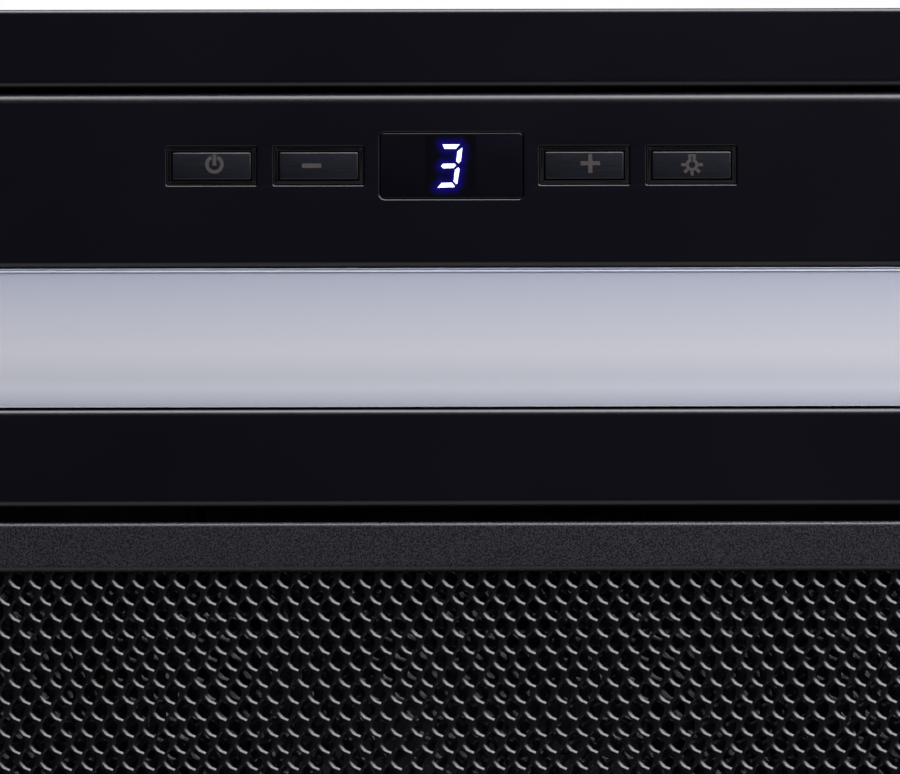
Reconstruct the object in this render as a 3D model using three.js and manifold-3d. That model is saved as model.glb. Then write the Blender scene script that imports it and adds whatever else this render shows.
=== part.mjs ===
// Range hood insert: a built-in extraction unit that hangs in a cabinet floor, seen from below.
// Millimetres. X runs along the width, -Y faces the cook and +Z points up into the cabinet.
// The origin is the middle of the visible underside.
import * as THREE from 'three';
import { mergeVertices } from 'three/addons/utils/BufferGeometryUtils.js';
import Module from 'manifold-3d';

const wasm = await Module();
wasm.setup();

// ---- Driving dimensions -------------------------------------------------------------------

const clearance = 0.3; // between pieces that touch
const steelSheet = 1.0;
const far = 400; // longer than any piece, for cutting tools

const overallWidth = 530;
const overallDepth = 340;
const bodyTop = 189;
const collarTop = 250;

// Strips of the underside, as distances behind the front edge.
const flangeWidth = 23;
const revealWidth = 2.2;
const controlsLine = 46.3;
const lightSlotStart = 76.4;
const lightSlotEnd = 117.8;
const filterSlotStart = 147.1;
const filterSlotEnd = 298.7;
const slotHalfWidth = 222;

const frontEdge = -overallDepth / 2;
const controlsY = frontEdge + controlsLine;

// Flange round the cut-out.
const flangeSheet = 1.2;
const flangeBend = 1.9;
const flangeHeight = 8;
const flangeReturn = 12;
const flangeUpstand = 22;

// Pressed underside panel.
const panelBend = 2.2;
const panelLip = 11;

// Push buttons, from the middle outwards.
const buttonOffsets = [39.2, 70.8];
const buttonWidth = 23.2;
const buttonDepth = 8.0;
const buttonRecess = 0.1;
const bezelWidth = 26.1;
const bezelDepth = 10.9;
const bezelWall = 1.0;
const windowWidth = 42.5;
const windowDepth = 19.8;
const windowCorner = 1.3;

// Control electronics, as heights above the underside.
const bezelBottom = 0.4;
const carrierBottom = 1.3;
const carrierTop = 3.8;
const plungerTop = 5.7;
const switchBottom = 7.2;
const boardBottom = 10.8;
const boardSheet = 1.6;
const coverTop = 22;
const coverWall = 1.4;

// Light.
const diffuserWall = 2.0;
const diffuserHeight = 8;
const diffuserRecess = 0.8;
const diffuserCrown = 0.5;
const lightTrayTop = 24;
const lightTraySheet = 0.8;
const ledStripHalf = 210;
const ledSpan = 400;
const ledCount = 20;

// Grease filter.
const filterRim = 4.4;
const filterBar = 14.6;
const filterSheet = 1.0;
const filterBottom = 0.4;
const filterTop = 11;
const filterBend = 1.9;
const cellPitch = 19.5;
const cellRow = 15.6;
const cellStrand = 2.4;
const hookOffset = 150;
const hookHalfWidth = 12;

// Housing.
const wallSheet = 1.0;
const wallReturn = 15;
const lidSkirt = 12;
const lidSheet = 1.2;
const dividerY = -46;

// Blower and duct.
const wheelAxisY = 35;
const wheelAxisZ = 106;
const wheelRadius = 55;
const wheelWidth = 100;
const bladeCount = 18;
const bladeDepth = 11;
const scrollHalfWidth = 58;
const scrollSheet = 0.8;
const scrollStart = 59;
const scrollEnd = 83;
const tongueAngle = THREE.MathUtils.degToRad(102);
const inletRadius = 45;
const ductY = 62;
const ductRadius = 75;
const ductFlangeRadius = 86;
const collarSheet = 1.0;
const flapHeight = 210.3;
const flapSheet = 0.8;
const rodRadius = 2;
const rodHalfLength = 78;

// ---- Solids and outlines ------------------------------------------------------------------

function solidOf(geometry) {
  const bare = geometry.clone();
  bare.deleteAttribute('normal');
  bare.deleteAttribute('uv');
  const merged = mergeVertices(bare, 1e-4);
  return new wasm.Manifold(new wasm.Mesh({
    numProp: 3,
    vertProperties: new Float32Array(merged.attributes.position.array),
    triVerts: new Uint32Array(merged.index.array),
  }));
}

function geometryOf(solid) {
  const mesh = solid.getMesh();
  const geometry = new THREE.BufferGeometry();
  geometry.setAttribute('position', new THREE.BufferAttribute(mesh.vertProperties, 3));
  geometry.setIndex(new THREE.BufferAttribute(mesh.triVerts, 1));
  geometry.computeVertexNormals();
  return geometry;
}

function joined(first, ...others) {
  return geometryOf(others.reduce((solid, other) => solid.add(solidOf(other)), solidOf(first)));
}

function cut(body, ...tools) {
  return geometryOf(tools.reduce((solid, tool) => solid.subtract(solidOf(tool)), solidOf(body)));
}

function box(x0, x1, y0, y1, z0, z1) {
  const geometry = new THREE.BoxGeometry(x1 - x0, y1 - y0, z1 - z0);
  return geometry.translate((x0 + x1) / 2, (y0 + y1) / 2, (z0 + z1) / 2);
}

function rectangle(x0, x1, y0, y1, radius = 0) {
  return { x0, x1, y0, y1, radius };
}

function grown(outline, amount) {
  const { x0, x1, y0, y1, radius } = outline;
  const corner = radius > 0 ? Math.max(radius + amount, 0.1) : 0;
  return rectangle(x0 - amount, x1 + amount, y0 - amount, y1 + amount, corner);
}

const cornerSteps = 3;

function outlinePoints({ x0, x1, y0, y1, radius }) {
  const corners = [
    [x1 - radius, y0 + radius, -0.5],
    [x1 - radius, y1 - radius, 0],
    [x0 + radius, y1 - radius, 0.5],
    [x0 + radius, y0 + radius, 1],
  ];
  const steps = radius > 0 ? cornerSteps : 0;
  const points = [];
  for (const [centreX, centreY, halfTurns] of corners) {
    for (let step = 0; step <= steps; step += 1) {
      const angle = Math.PI * (halfTurns + (steps ? step / steps / 2 : 0));
      const x = centreX + radius * Math.cos(angle);
      points.push(new THREE.Vector2(x, centreY + radius * Math.sin(angle)));
    }
  }
  return points;
}

function shapeOf(outline, holes = []) {
  const shape = new THREE.Shape(outlinePoints(outline));
  shape.holes = holes.map((hole) => new THREE.Path(outlinePoints(hole)));
  return shape;
}

function prism(shapes, bottom, top) {
  const settings = { depth: top - bottom, bevelEnabled: false };
  return new THREE.ExtrudeGeometry(shapes, settings).translate(0, 0, bottom);
}

// A flat plate of the outline, from one height to another.
function plate(outline, holes, bottom, top) {
  const body = prism([shapeOf(outline)], bottom, top);
  const punches = holes.map((hole) => shapeOf(hole));
  return holes.length > 0 ? cut(body, prism(punches, bottom - 1, top + 1)) : body;
}

// A block whose lower edges are rounded, outside and round each hole.
function roundedBlock(outline, holes, height, bend) {
  const settings = {
    depth: height,
    bevelThickness: bend,
    bevelSize: bend,
    bevelOffset: -bend,
    bevelSegments: 3,
  };
  const geometry = new THREE.ExtrudeGeometry(shapeOf(outline, holes), settings);
  return geometry.translate(0, 0, bend);
}

// Sheet metal with every edge bent up by the same radius: the block less the same block,
// drawn in by the sheet's thickness and raised by it.
function pressedSheet(outline, holes, height, bend, sheet) {
  const inner = roundedBlock(
    grown(outline, -sheet),
    holes.map((hole) => grown(hole, sheet)),
    height + far,
    bend - sheet,
  ).translate(0, 0, sheet);
  const above = box(-far, far, -far, far, height, far);
  return cut(roundedBlock(outline, holes, height, bend), inner, above);
}

// A profile in the Y-Z plane, drawn along X between two places.
function alongX(points, x0, x1) {
  const shape = new THREE.Shape(points.map(([y, z]) => new THREE.Vector2(y, z)));
  const geometry = new THREE.ExtrudeGeometry(shape, { depth: x1 - x0, bevelEnabled: false });
  geometry.rotateX(Math.PI / 2);
  geometry.rotateZ(Math.PI / 2);
  return geometry.translate(x0, 0, 0);
}

// A profile in the X-Z plane, drawn along Y between two places.
function alongY(points, y0, y1) {
  const shape = new THREE.Shape(points.map(([x, z]) => new THREE.Vector2(x, z)));
  const geometry = new THREE.ExtrudeGeometry(shape, { depth: y1 - y0, bevelEnabled: false });
  geometry.rotateX(Math.PI / 2);
  return geometry.translate(0, y1, 0);
}

// A turned profile of [radius, height] pairs, listed anticlockwise, about the Z axis.
function turned(profile, segments) {
  const points = profile.map(([radius, height]) => new THREE.Vector2(radius, height));
  return new THREE.LatheGeometry(points, segments).rotateX(Math.PI / 2);
}

function tube(inner, outer, bottom, top, segments) {
  return turned([[inner, bottom], [outer, bottom], [outer, top], [inner, top], [inner, bottom]], segments);
}

function rod(radius, bottom, top, segments) {
  return turned([[0, bottom], [radius, bottom], [radius, top], [0, top]], segments);
}

// Turns a piece made about Z so that its axis lies along X.
function layAlongX(geometry) {
  return geometry.rotateY(Math.PI / 2);
}

// ---- Finishes -----------------------------------------------------------------------------

function finish(color, roughness, metalness) {
  return new THREE.MeshStandardMaterial({ color, roughness, metalness });
}

const satinBlackSteel = () => finish('#141419', 0.42, 0.3);
const texturedBlackSteel = () => finish('#26262b', 0.7, 0.2);
const coatedMesh = () => finish('#2b2b2e', 0.45, 0.4);
const galvanised = () => finish('#9aa0a4', 0.45, 0.9);
const blackPlastic = () => finish('#17171b', 0.5, 0);
const buttonPlastic = () => finish('#1e1f25', 0.4, 0);
const smokedLens = () => finish('#0d0c12', 0.08, 0);
const frostedAcrylic = () => finish('#bebec8', 0.5, 0);
const greyPlastic = () => finish('#6d7074', 0.6, 0);
const circuitBoard = () => finish('#1f5a37', 0.5, 0);
const whiteBoard = () => finish('#e9e9e4', 0.5, 0);
const motorPaint = () => finish('#3a3d42', 0.5, 0.4);
const brightSteel = () => finish('#b9bcbf', 0.3, 1);
const aluminium = () => finish('#b4b6b8', 0.4, 0.9);
const cableSheath = () => finish('#202022', 0.6, 0);

function piece(name, geometry, material, position = [0, 0, 0]) {
  const mesh = new THREE.Mesh(geometry, material);
  mesh.name = name;
  mesh.position.set(...position);
  return mesh;
}

function assembly(...pieces) {
  const group = new THREE.Group();
  group.add(...pieces);
  return group;
}

// ---- Underside ----------------------------------------------------------------------------

const outerEdge = rectangle(
  -overallWidth / 2, overallWidth / 2, frontEdge, -frontEdge, 4,
);
const cutOut = grown({ ...outerEdge, radius: 26 }, -flangeWidth);
const panelEdge = grown({ ...cutOut, radius: 6.7 }, -revealWidth);
const lightSlot = rectangle(
  -slotHalfWidth, slotHalfWidth, frontEdge + lightSlotStart, frontEdge + lightSlotEnd, 3.5,
);
const filterSlot = rectangle(
  -slotHalfWidth, slotHalfWidth, frontEdge + filterSlotStart, frontEdge + filterSlotEnd, 3.5,
);

// The visible flange: its outer edge is folded up and back in, to bear on the cabinet floor,
// and its inner edge is folded up to carry the housing walls.
function flangeFrame() {
  const ring = pressedSheet(outerEdge, [cutOut], flangeUpstand, flangeBend, flangeSheet);
  const spare = plate(grown(outerEdge, 5), [grown(cutOut, 4)], flangeHeight, far);
  const foldedEdge = plate(
    outerEdge, [grown(outerEdge, -flangeReturn)], flangeHeight - flangeSheet, flangeHeight,
  );
  return piece('trim_flange', joined(cut(ring, spare), foldedEdge), satinBlackSteel());
}

function buttonPlaces() {
  const [near, away] = buttonOffsets;
  return { power: -away, minus: -near, plus: near, light: away };
}

function opening(centreX, width, depth, radius = 0) {
  return rectangle(
    centreX - width / 2, centreX + width / 2, controlsY - depth / 2, controlsY + depth / 2, radius,
  );
}

function undersidePanel() {
  const sheet = pressedSheet(panelEdge, [lightSlot, filterSlot], panelLip, panelBend, steelSheet);
  const punchTop = panelBend + steelSheet;
  const punches = Object.values(buttonPlaces()).map((x) => plate(
    opening(x, bezelWidth + 2 * clearance, bezelDepth + 2 * clearance), [], -1, punchTop,
  ));
  const window = plate(opening(0, windowWidth, windowDepth, windowCorner), [], -1, punchTop);
  const slotHalf = boltHalfWidth + 1.4;
  const boltSlot = box(-slotHalf, slotHalf, filterSlot.y1 - 1, filterSlot.y1 + 3, 2.6, 7);
  return piece('underside_panel', cut(sheet, ...punches, window, boltSlot), satinBlackSteel());
}

// ---- Controls -----------------------------------------------------------------------------

const carrierHalfWidth = 96;
const carrierHalfDepth = 18.5;
const carrierOutline = rectangle(
  -carrierHalfWidth, carrierHalfWidth, controlsY - carrierHalfDepth, controlsY + carrierHalfDepth, 2,
);

// Moulding behind the panel: its four rims stand in the panel's openings round the buttons.
function buttonCarrier() {
  const rimHoles = Object.values(buttonPlaces()).map(
    (x) => opening(x, bezelWidth - 2 * bezelWall, bezelDepth - 2 * bezelWall),
  );
  const lensSeat = opening(0, windowWidth, windowDepth, windowCorner);
  const seatTop = carrierTop - 0.8;
  const lower = plate(carrierOutline, [...rimHoles, lensSeat], carrierBottom, seatTop);
  const upper = plate(carrierOutline, [...rimHoles, opening(0, 38, 17)], seatTop, carrierTop);
  const rims = Object.values(buttonPlaces()).map((x) => plate(
    opening(x, bezelWidth, bezelDepth),
    [opening(x, bezelWidth - 2 * bezelWall, bezelDepth - 2 * bezelWall)],
    bezelBottom, carrierBottom,
  ));
  const posts = [];
  for (const x of [10 - carrierHalfWidth, carrierHalfWidth - 10]) {
    for (const y of [4.5 - carrierHalfDepth, carrierHalfDepth - 4.5]) {
      posts.push(rod(2.5, carrierTop, boardBottom - clearance, 8).translate(x, controlsY + y, 0));
    }
  }
  return piece('button_carrier', joined(lower, upper, ...rims, ...posts), blackPlastic());
}

// A cap with a softened face, a rim that keeps it in and a plunger for its switch.
function button(name) {
  const faceOutline = rectangle(-buttonWidth / 2, buttonWidth / 2, -buttonDepth / 2, buttonDepth / 2, 0.5);
  const edgeRound = 0.4;
  const rimBottom = carrierTop + clearance;
  const cap = roundedBlock(faceOutline, [], 0, edgeRound).translate(0, 0, buttonRecess);
  const stem = plate(grown(faceOutline, -0.01), [], buttonRecess + edgeRound, rimBottom);
  const rim = plate(grown(faceOutline, 1.2), [], rimBottom, rimBottom + 1);
  const plunger = box(-2, 2, -2, 2, rimBottom + 1, plungerTop);
  return piece(`button_${name}`, joined(cap, stem, rim, plunger), buttonPlastic(),
    [buttonPlaces()[name], controlsY, 0]);
}

function tactSwitch(name) {
  const top = boardBottom - clearance;
  const body = box(-3, 3, -3, 3, switchBottom, top);
  const collar = rod(2, switchBottom - 0.2, switchBottom + 0.1, 8);
  return piece(`switch_${name}`, joined(body, collar), blackPlastic(), [buttonPlaces()[name], controlsY, 0]);
}

function displayLens() {
  const outline = rectangle(
    -windowWidth / 2 + clearance, windowWidth / 2 - clearance,
    -windowDepth / 2 + clearance, windowDepth / 2 - clearance, windowCorner - clearance,
  );
  const block = roundedBlock(outline, [], 4, 0.3);
  const above = box(-far, far, -far, far, 2.5, far);
  return piece('display_lens', cut(block, above), smokedLens(), [0, controlsY, 0.2]);
}

// The one-digit module that stands behind the lens.
function digitModule() {
  const body = box(-6.5, 6.5, -7.8, 7.8, 3.1, boardBottom - clearance);
  const face = box(-4.8, 4.8, -6.9, 6.9, 2.95, 3.2);
  return piece('digit_module', joined(body, face), blackPlastic(), [0, controlsY, 0]);
}

function controlBoard() {
  const outline = rectangle(-92, 92, controlsY - 15, controlsY + 15, 1);
  const top = boardBottom + boardSheet;
  const board = plate(outline, [], boardBottom, top);
  const chip = box(-8, 8, controlsY - 5, controlsY + 5, top - 0.1, top + 2);
  const socket = box(40, 54, controlsY - 4, controlsY + 4, top - 0.1, top + 6);
  return piece('control_board', joined(board, chip, socket), circuitBoard());
}

function controlCover() {
  const outline = grown(carrierOutline, -0.5);
  const bottom = carrierTop + clearance;
  const shell = plate(outline, [], bottom, coverTop);
  const hollow = plate(grown(outline, -coverWall), [], bottom - 1, coverTop - coverWall);
  const cableSlot = box(-9, 9, controlsY - 3, controlsY + 3, coverTop - 3, coverTop + 1);
  return piece('control_cover', cut(shell, hollow, cableSlot), blackPlastic());
}

function controls() {
  const names = Object.keys(buttonPlaces());
  return assembly(
    buttonCarrier(), displayLens(), digitModule(), controlBoard(), controlCover(),
    ...names.map(button), ...names.map(tactSwitch),
  );
}

// ---- Light --------------------------------------------------------------------------------

// An extruded channel of frosted acrylic, slightly crowned on the side that shows.
function lightDiffuser() {
  const half = (lightSlot.y1 - lightSlot.y0) / 2 - clearance;
  const middle = (lightSlot.y1 + lightSlot.y0) / 2;
  const crownSteps = 6;
  const profile = [];
  for (let step = 0; step <= crownSteps; step += 1) {
    const across = (2 * step) / crownSteps - 1;
    profile.push([across * half, diffuserRecess + diffuserCrown * across * across]);
  }
  const top = diffuserRecess + diffuserHeight;
  const inside = half - diffuserWall;
  const ceiling = diffuserRecess + diffuserCrown + diffuserWall;
  profile.push(
    [half, top], [inside, top], [inside, ceiling], [-inside, ceiling], [-inside, top], [-half, top],
  );
  const ends = slotHalfWidth - clearance - 3.5;
  const geometry = alongX(profile.map(([y, z]) => [y + middle, z]), -ends, ends);
  return piece('light_diffuser', geometry, frostedAcrylic());
}

function lightTray() {
  const outer = grown({ ...lightSlot, radius: 3 }, 3);
  const shell = plate(outer, [], carrierBottom, lightTrayTop);
  const hollow = plate(grown(outer, -lightTraySheet), [], 0, lightTrayTop - lightTraySheet);
  return piece('light_tray', cut(shell, hollow), galvanised());
}

function ledStrip() {
  const middle = (lightSlot.y1 + lightSlot.y0) / 2;
  const top = lightTrayTop - lightTraySheet - clearance;
  const bottom = top - boardSheet;
  const strip = box(-ledStripHalf, ledStripHalf, middle - 8, middle + 8, bottom, top);
  const chips = [];
  for (let index = 0; index < ledCount; index += 1) {
    const x = ledSpan * (index / (ledCount - 1) - 0.5);
    chips.push(box(x - 1.8, x + 1.8, middle - 1.4, middle + 1.4, bottom - 0.7, bottom + 0.1));
  }
  return piece('led_strip', joined(strip, ...chips), whiteBoard());
}

// ---- Grease filter ------------------------------------------------------------------------

const filterEdge = rectangle(
  -slotHalfWidth + filterRim, slotHalfWidth - filterRim,
  filterSlot.y0 + filterRim, filterSlot.y1 - filterRim, 4,
);
const meshEdge = grown({ ...filterEdge, radius: 4.2 }, -1.6);
const latchHalfWidth = 22;
const latchFront = filterEdge.y1 - filterBar - 21.4;
const latchRear = filterEdge.y1 - filterBar - 0.5;
const boltHalfWidth = 8;
const latchWall = 2.4;
const latchTabDepth = 8.6;

// Folded steel channel round the mesh pack, mitred and welded at the corners.
function filterFrame() {
  const window = grown({ ...filterEdge, radius: filterBar + 2 }, -filterBar);
  const block = roundedBlock(filterEdge, [window], filterTop, filterBend);
  const above = box(-far, far, -far, far, filterTop - filterBottom, far);
  const groove = plate(
    grown(filterEdge, -filterSheet), [], filterSheet, filterTop - filterBottom - filterSheet,
  );
  const boltHole = box(-boltHalfWidth - 0.6, boltHalfWidth + 0.6, latchRear, filterEdge.y1 + 1, 2.4, 6.0);
  const channel = cut(block, above, groove, boltHole);
  return piece('filter_frame', channel, texturedBlackSteel(), [0, 0, filterBottom]);
}

const meshMargin = 3;

function insideNotch(x, y, halfX, halfY) {
  return Math.abs(x) < latchHalfWidth + 3 + halfX && y > latchFront - 3 - halfY;
}

// Expanded metal: staggered rows of long holes, in a sheet that is notched for the latch.
function expandedMetal(pitch, row, strand, bluntness, bottom, top) {
  const halfX = (pitch - strand) / 2;
  const straight = bluntness * row;
  const slope = (row - 2 * straight) / (pitch / 2);
  const inset = (strand / 2) * Math.hypot(1, slope);
  const tip = row - straight - inset;
  const shoulder = tip - slope * halfX;
  const holes = [];
  const middleY = (meshEdge.y0 + meshEdge.y1) / 2;
  const spanX = meshEdge.x1 - meshMargin;
  const spanY = meshEdge.y1 - middleY - meshMargin;
  const columns = Math.floor((spanX - halfX) / pitch);
  const rows = Math.floor((spanY - tip) / row);
  for (let line = -rows; line <= rows; line += 1) {
    const shift = line % 2 ? 0.5 : 0;
    for (let column = -columns; column <= columns - (shift ? 1 : 0); column += 1) {
      const x = (column + shift) * pitch;
      const y = middleY + line * row;
      if (insideNotch(x, y, halfX, tip)) {
        continue;
      }
      const rightSide = bluntness > 0 ? [[halfX, -shoulder], [halfX, shoulder]] : [[halfX, 0]];
      const leftSide = rightSide.map(([dx, dy]) => [-dx, -dy]);
      const corners = [...rightSide, [0, tip], ...leftSide, [0, -tip]];
      holes.push(new THREE.Shape(corners.map(([dx, dy]) => new THREE.Vector2(x + dx, y + dy))));
    }
  }
  const notch = box(-latchHalfWidth - 0.6, latchHalfWidth + 0.6, latchFront - 0.6, far, -1, 20);
  return cut(plate(meshEdge, [], bottom, top), prism(holes, bottom - 1, top + 1), notch);
}

function filterLayers() {
  return [
    piece('filter_mesh_front', expandedMetal(cellPitch, cellRow, cellStrand, 0.23, 1.7, 2.9), coatedMesh()),
    piece('filter_mesh_core', expandedMetal(52, 24, 6, 0, 3.4, 6.4), aluminium()),
    piece('filter_mesh_back', expandedMetal(60, 28, 7, 0, 6.9, 9.4), aluminium()),
  ];
}

// Strap riveted on the frame, turned down behind the lip of the panel: the filter hangs and
// turns on it.
function filterHook(name, x) {
  const lipRear = filterSlot.y0;
  const bottom = panelLip + clearance;
  const profile = [
    [lipRear + 19, bottom], [lipRear + 19, bottom + 1], [lipRear - 6, bottom + 1],
    [lipRear - 6, bottom - 4], [lipRear - 5, bottom - 4], [lipRear - 5, bottom],
  ];
  const strap = alongX(profile.reverse(), -hookHalfWidth, hookHalfWidth);
  return piece(name, strap, texturedBlackSteel(), [x, 0, 0]);
}

function latchHousing() {
  const outer = rectangle(-latchHalfWidth, latchHalfWidth, latchFront, latchRear, 2);
  const shell = plate(outer, [], 0.8, 9.2);
  const pocket = plate(grown(outer, -latchWall), [], 0, 7);
  const boltWay = box(-boltHalfWidth - 0.5, boltHalfWidth + 0.5, latchRear - 4, latchRear + 1, 3.0, 6.2);
  return piece('latch_housing', cut(shell, pocket, boltWay), blackPlastic());
}

// The finger slide, sprung towards the rear, and the bolt that it draws back.
function latchSlide() {
  const tabRear = latchRear - latchWall - clearance;
  const tabFront = tabRear - latchTabDepth;
  const tab = box(-15, 15, tabFront, tabRear, 3.3, 5.9);
  const grip = box(-15, 15, tabFront, tabFront + 2, 1.0, 3.4);
  const bolt = box(-boltHalfWidth, boltHalfWidth, tabRear - 1, filterSlot.y1 - clearance, 3.4, 5.8);
  return piece('latch_slide', joined(tab, grip, bolt), blackPlastic());
}

function latchSpring() {
  const front = latchFront + latchWall + clearance;
  const rear = latchRear - latchWall - latchTabDepth - 2 * clearance;
  const coil = tube(1.2, 1.8, 0, rear - front, 10);
  coil.rotateX(-Math.PI / 2);
  return piece('latch_spring', coil, brightSteel(), [0, front, 4.6]);
}

function greaseFilter() {
  return assembly(
    filterFrame(), ...filterLayers(),
    filterHook('filter_hook_left', -hookOffset), filterHook('filter_hook_right', hookOffset),
    latchHousing(), latchSlide(), latchSpring(),
  );
}

// ---- Housing ------------------------------------------------------------------------------

const wallBottom = flangeSheet + clearance;
const wallTop = bodyTop - lidSheet - clearance;
const wallInner = grown(cutOut, flangeSheet + clearance);
const wallOuter = grown(wallInner, wallSheet);

// The front and rear walls are folded inwards at their ends, where the side walls are riveted.
function longWall(name, side) {
  const endX = wallInner.x1 - clearance;
  const inner = wallInner.y1;
  const fold = inner - wallReturn;
  const profile = [
    [-endX, fold], [-endX + wallSheet, fold], [-endX + wallSheet, inner],
    [endX - wallSheet, inner], [endX - wallSheet, fold], [endX, fold],
    [endX, inner + wallSheet], [-endX, inner + wallSheet],
  ];
  const shape = new THREE.Shape(profile.map(([x, y]) => new THREE.Vector2(x, y)));
  const geometry = new THREE.ExtrudeGeometry(shape, { depth: wallTop - wallBottom, bevelEnabled: false });
  // Below the top of the flange's upstand the folds are cut away.
  const relief = box(-far, far, fold - 1, inner, -1, flangeUpstand + 1 - wallBottom);
  const wall = piece(name, cut(geometry, relief), galvanised(), [0, 0, wallBottom]);
  wall.rotation.z = side > 0 ? 0 : Math.PI;
  return wall;
}

function sideWall(name, side) {
  const depth = wallOuter.y1 - wallOuter.y0 - 2 * wallSheet;
  const geometry = new THREE.BoxGeometry(wallSheet, depth, wallTop - wallBottom);
  const x = side * (wallInner.x1 + wallSheet / 2);
  return piece(name, geometry, galvanised(), [x, 0, (wallTop + wallBottom) / 2]);
}

const outletHole = rectangle(-scrollHalfWidth - 0.6, scrollHalfWidth + 0.6, 21, 119, 0);
const junctionX = 195;
const junctionY = -100;

function topPanel() {
  const outline = { ...grown(wallOuter, clearance + lidSheet), radius: 3 };
  const flipped = rectangle(outletHole.x0, outletHole.x1, -outletHole.y1, -outletHole.y0);
  const sheet = pressedSheet(outline, [], lidSkirt, 2, lidSheet);
  const wireHole = rod(8, -5, 5, 12).translate(junctionX, -junctionY, 0);
  const punched = cut(sheet, plate(flipped, [], -5, 5), wireHole);
  const lid = piece('top_panel', punched, galvanised(), [0, 0, bodyTop]);
  lid.rotation.x = Math.PI;
  return lid;
}

// Keeps grease-laden air out of the bay that holds the electronics.
function bayDivider() {
  const foot = steelSheet + clearance;
  const profile = [
    [-235, foot], [235, foot], [235, 41], [242.9, 41], [242.9, wallTop], [-242.9, wallTop],
    [-242.9, 41], [-235, 41],
  ];
  const grommetHole = rod(5.5, -3, 3, 12).rotateX(Math.PI / 2).translate(-80, dividerY, 110);
  const sheet = alongY(profile, dividerY, dividerY + wallSheet);
  return piece('bay_divider', cut(sheet, grommetHole), galvanised());
}

// Joins the lip of the underside panel to the side wall.
function panelBracket(name, side) {
  const lipInner = panelEdge.x1 - steelSheet - clearance;
  const wallFace = wallInner.x1 - clearance;
  const profile = [
    [lipInner, 5], [lipInner, 25], [wallFace, 25], [wallFace, 40], [wallFace - 1, 40],
    [wallFace - 1, 26], [lipInner - 1, 26], [lipInner - 1, 5],
  ];
  const ordered = profile.map(([x, z]) => [side * x, z]);
  if (side < 0) {
    ordered.reverse();
  }
  return piece(name, alongY(ordered, -90, 110), galvanised());
}

// Angle screwed to the side of the housing: its foot clamps the cabinet floor to the flange.
const cabinetFloor = 16;
const hangerFoot = flangeHeight + cabinetFloor;

function hanger(name, side) {
  const face = wallOuter.x1 + clearance;
  const profile = [
    [face, hangerFoot], [face + 15, hangerFoot], [face + 15, hangerFoot + 1.5],
    [face + 1.5, hangerFoot + 1.5], [face + 1.5, hangerFoot + 45], [face, hangerFoot + 45],
  ];
  const ordered = profile.map(([x, z]) => [side * x, z]);
  if (side < 0) {
    ordered.reverse();
  }
  const slots = [-80, 0, 80].map((y) => box(
    side * face - 4, side * face + 4, y - 3, y + 3, hangerFoot + 14, hangerFoot + 38,
  ));
  return piece(name, cut(alongY(ordered, -100, 100), ...slots), galvanised());
}

function housing() {
  return assembly(
    longWall('front_wall', -1), longWall('rear_wall', 1),
    sideWall('left_wall', -1), sideWall('right_wall', 1),
    topPanel(), bayDivider(),
    panelBracket('panel_bracket_left', -1), panelBracket('panel_bracket_right', 1),
    hanger('hanger_left', -1), hanger('hanger_right', 1),
  );
}

// ---- Blower -------------------------------------------------------------------------------

const outletFront = outletHole.y0 + 1.2;
const outletRear = wheelAxisY + scrollEnd;
const outletTop = bodyTop - lidSheet - clearance;

// The spiral from the tongue, round the front and the bottom, to the straight rear of the
// outlet, as [y, z] points.
function spiral(offset) {
  const sweep = 2 * Math.PI - tongueAngle;
  const growth = Math.log(scrollEnd / scrollStart) / sweep;
  const steps = 20;
  const points = [];
  for (let step = 0; step <= steps; step += 1) {
    const turn = (sweep * step) / steps;
    const radius = scrollStart * Math.exp(growth * turn) + offset;
    const angle = tongueAngle + turn;
    points.push([wheelAxisY + radius * Math.cos(angle), wheelAxisZ + radius * Math.sin(angle)]);
  }
  return points;
}

function scrollWrap() {
  const inner = spiral(0);
  const outer = spiral(scrollSheet);
  const tongueY = inner[0][0];
  const profile = [
    [tongueY, outletTop], ...inner, [outletRear, outletTop],
    [outletRear + scrollSheet, outletTop], ...outer.reverse(), [tongueY - scrollSheet, outletTop],
  ];
  const inside = scrollHalfWidth - scrollSheet - clearance;
  return piece('scroll_wrap', alongX(profile, -inside, inside), galvanised());
}

function scrollSide(name, side) {
  const edge = spiral(scrollSheet + 4);
  const tongueY = edge[0][0];
  const profile = [[tongueY, outletTop], ...edge, [outletRear, outletTop]];
  const x = side * (scrollHalfWidth - scrollSheet / 2);
  const sheet = alongX(profile, -scrollSheet / 2, scrollSheet / 2);
  const hole = layAlongX(rod(inletRadius - 1, -5, 5, 28)).translate(0, wheelAxisY, wheelAxisZ);
  const mouth = layAlongX(tube(inletRadius - 1.5, inletRadius, -3, 3, 28));
  mouth.translate(-side * 2.6, wheelAxisY, wheelAxisZ);
  return piece(name, joined(cut(sheet, hole), mouth), galvanised(), [x, 0, 0]);
}

// Forward-curved blade, as an arc in the plane across the wheel's axis.
function blade(index) {
  const root = wheelRadius - bladeDepth;
  const outline = [[root, 0], [root + 6, -0.4], [wheelRadius - 0.3, 4]];
  const back = outline.map(([x, y]) => [x - 0.3, y + 1.1]).reverse();
  const shape = new THREE.Shape([...outline, ...back].map(([x, y]) => new THREE.Vector2(x, y)));
  const geometry = new THREE.ExtrudeGeometry(shape, { depth: wheelWidth - 1, bevelEnabled: false });
  geometry.translate(0, 0, -(wheelWidth - 1) / 2);
  return geometry.rotateZ((2 * Math.PI * index) / bladeCount);
}

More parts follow.
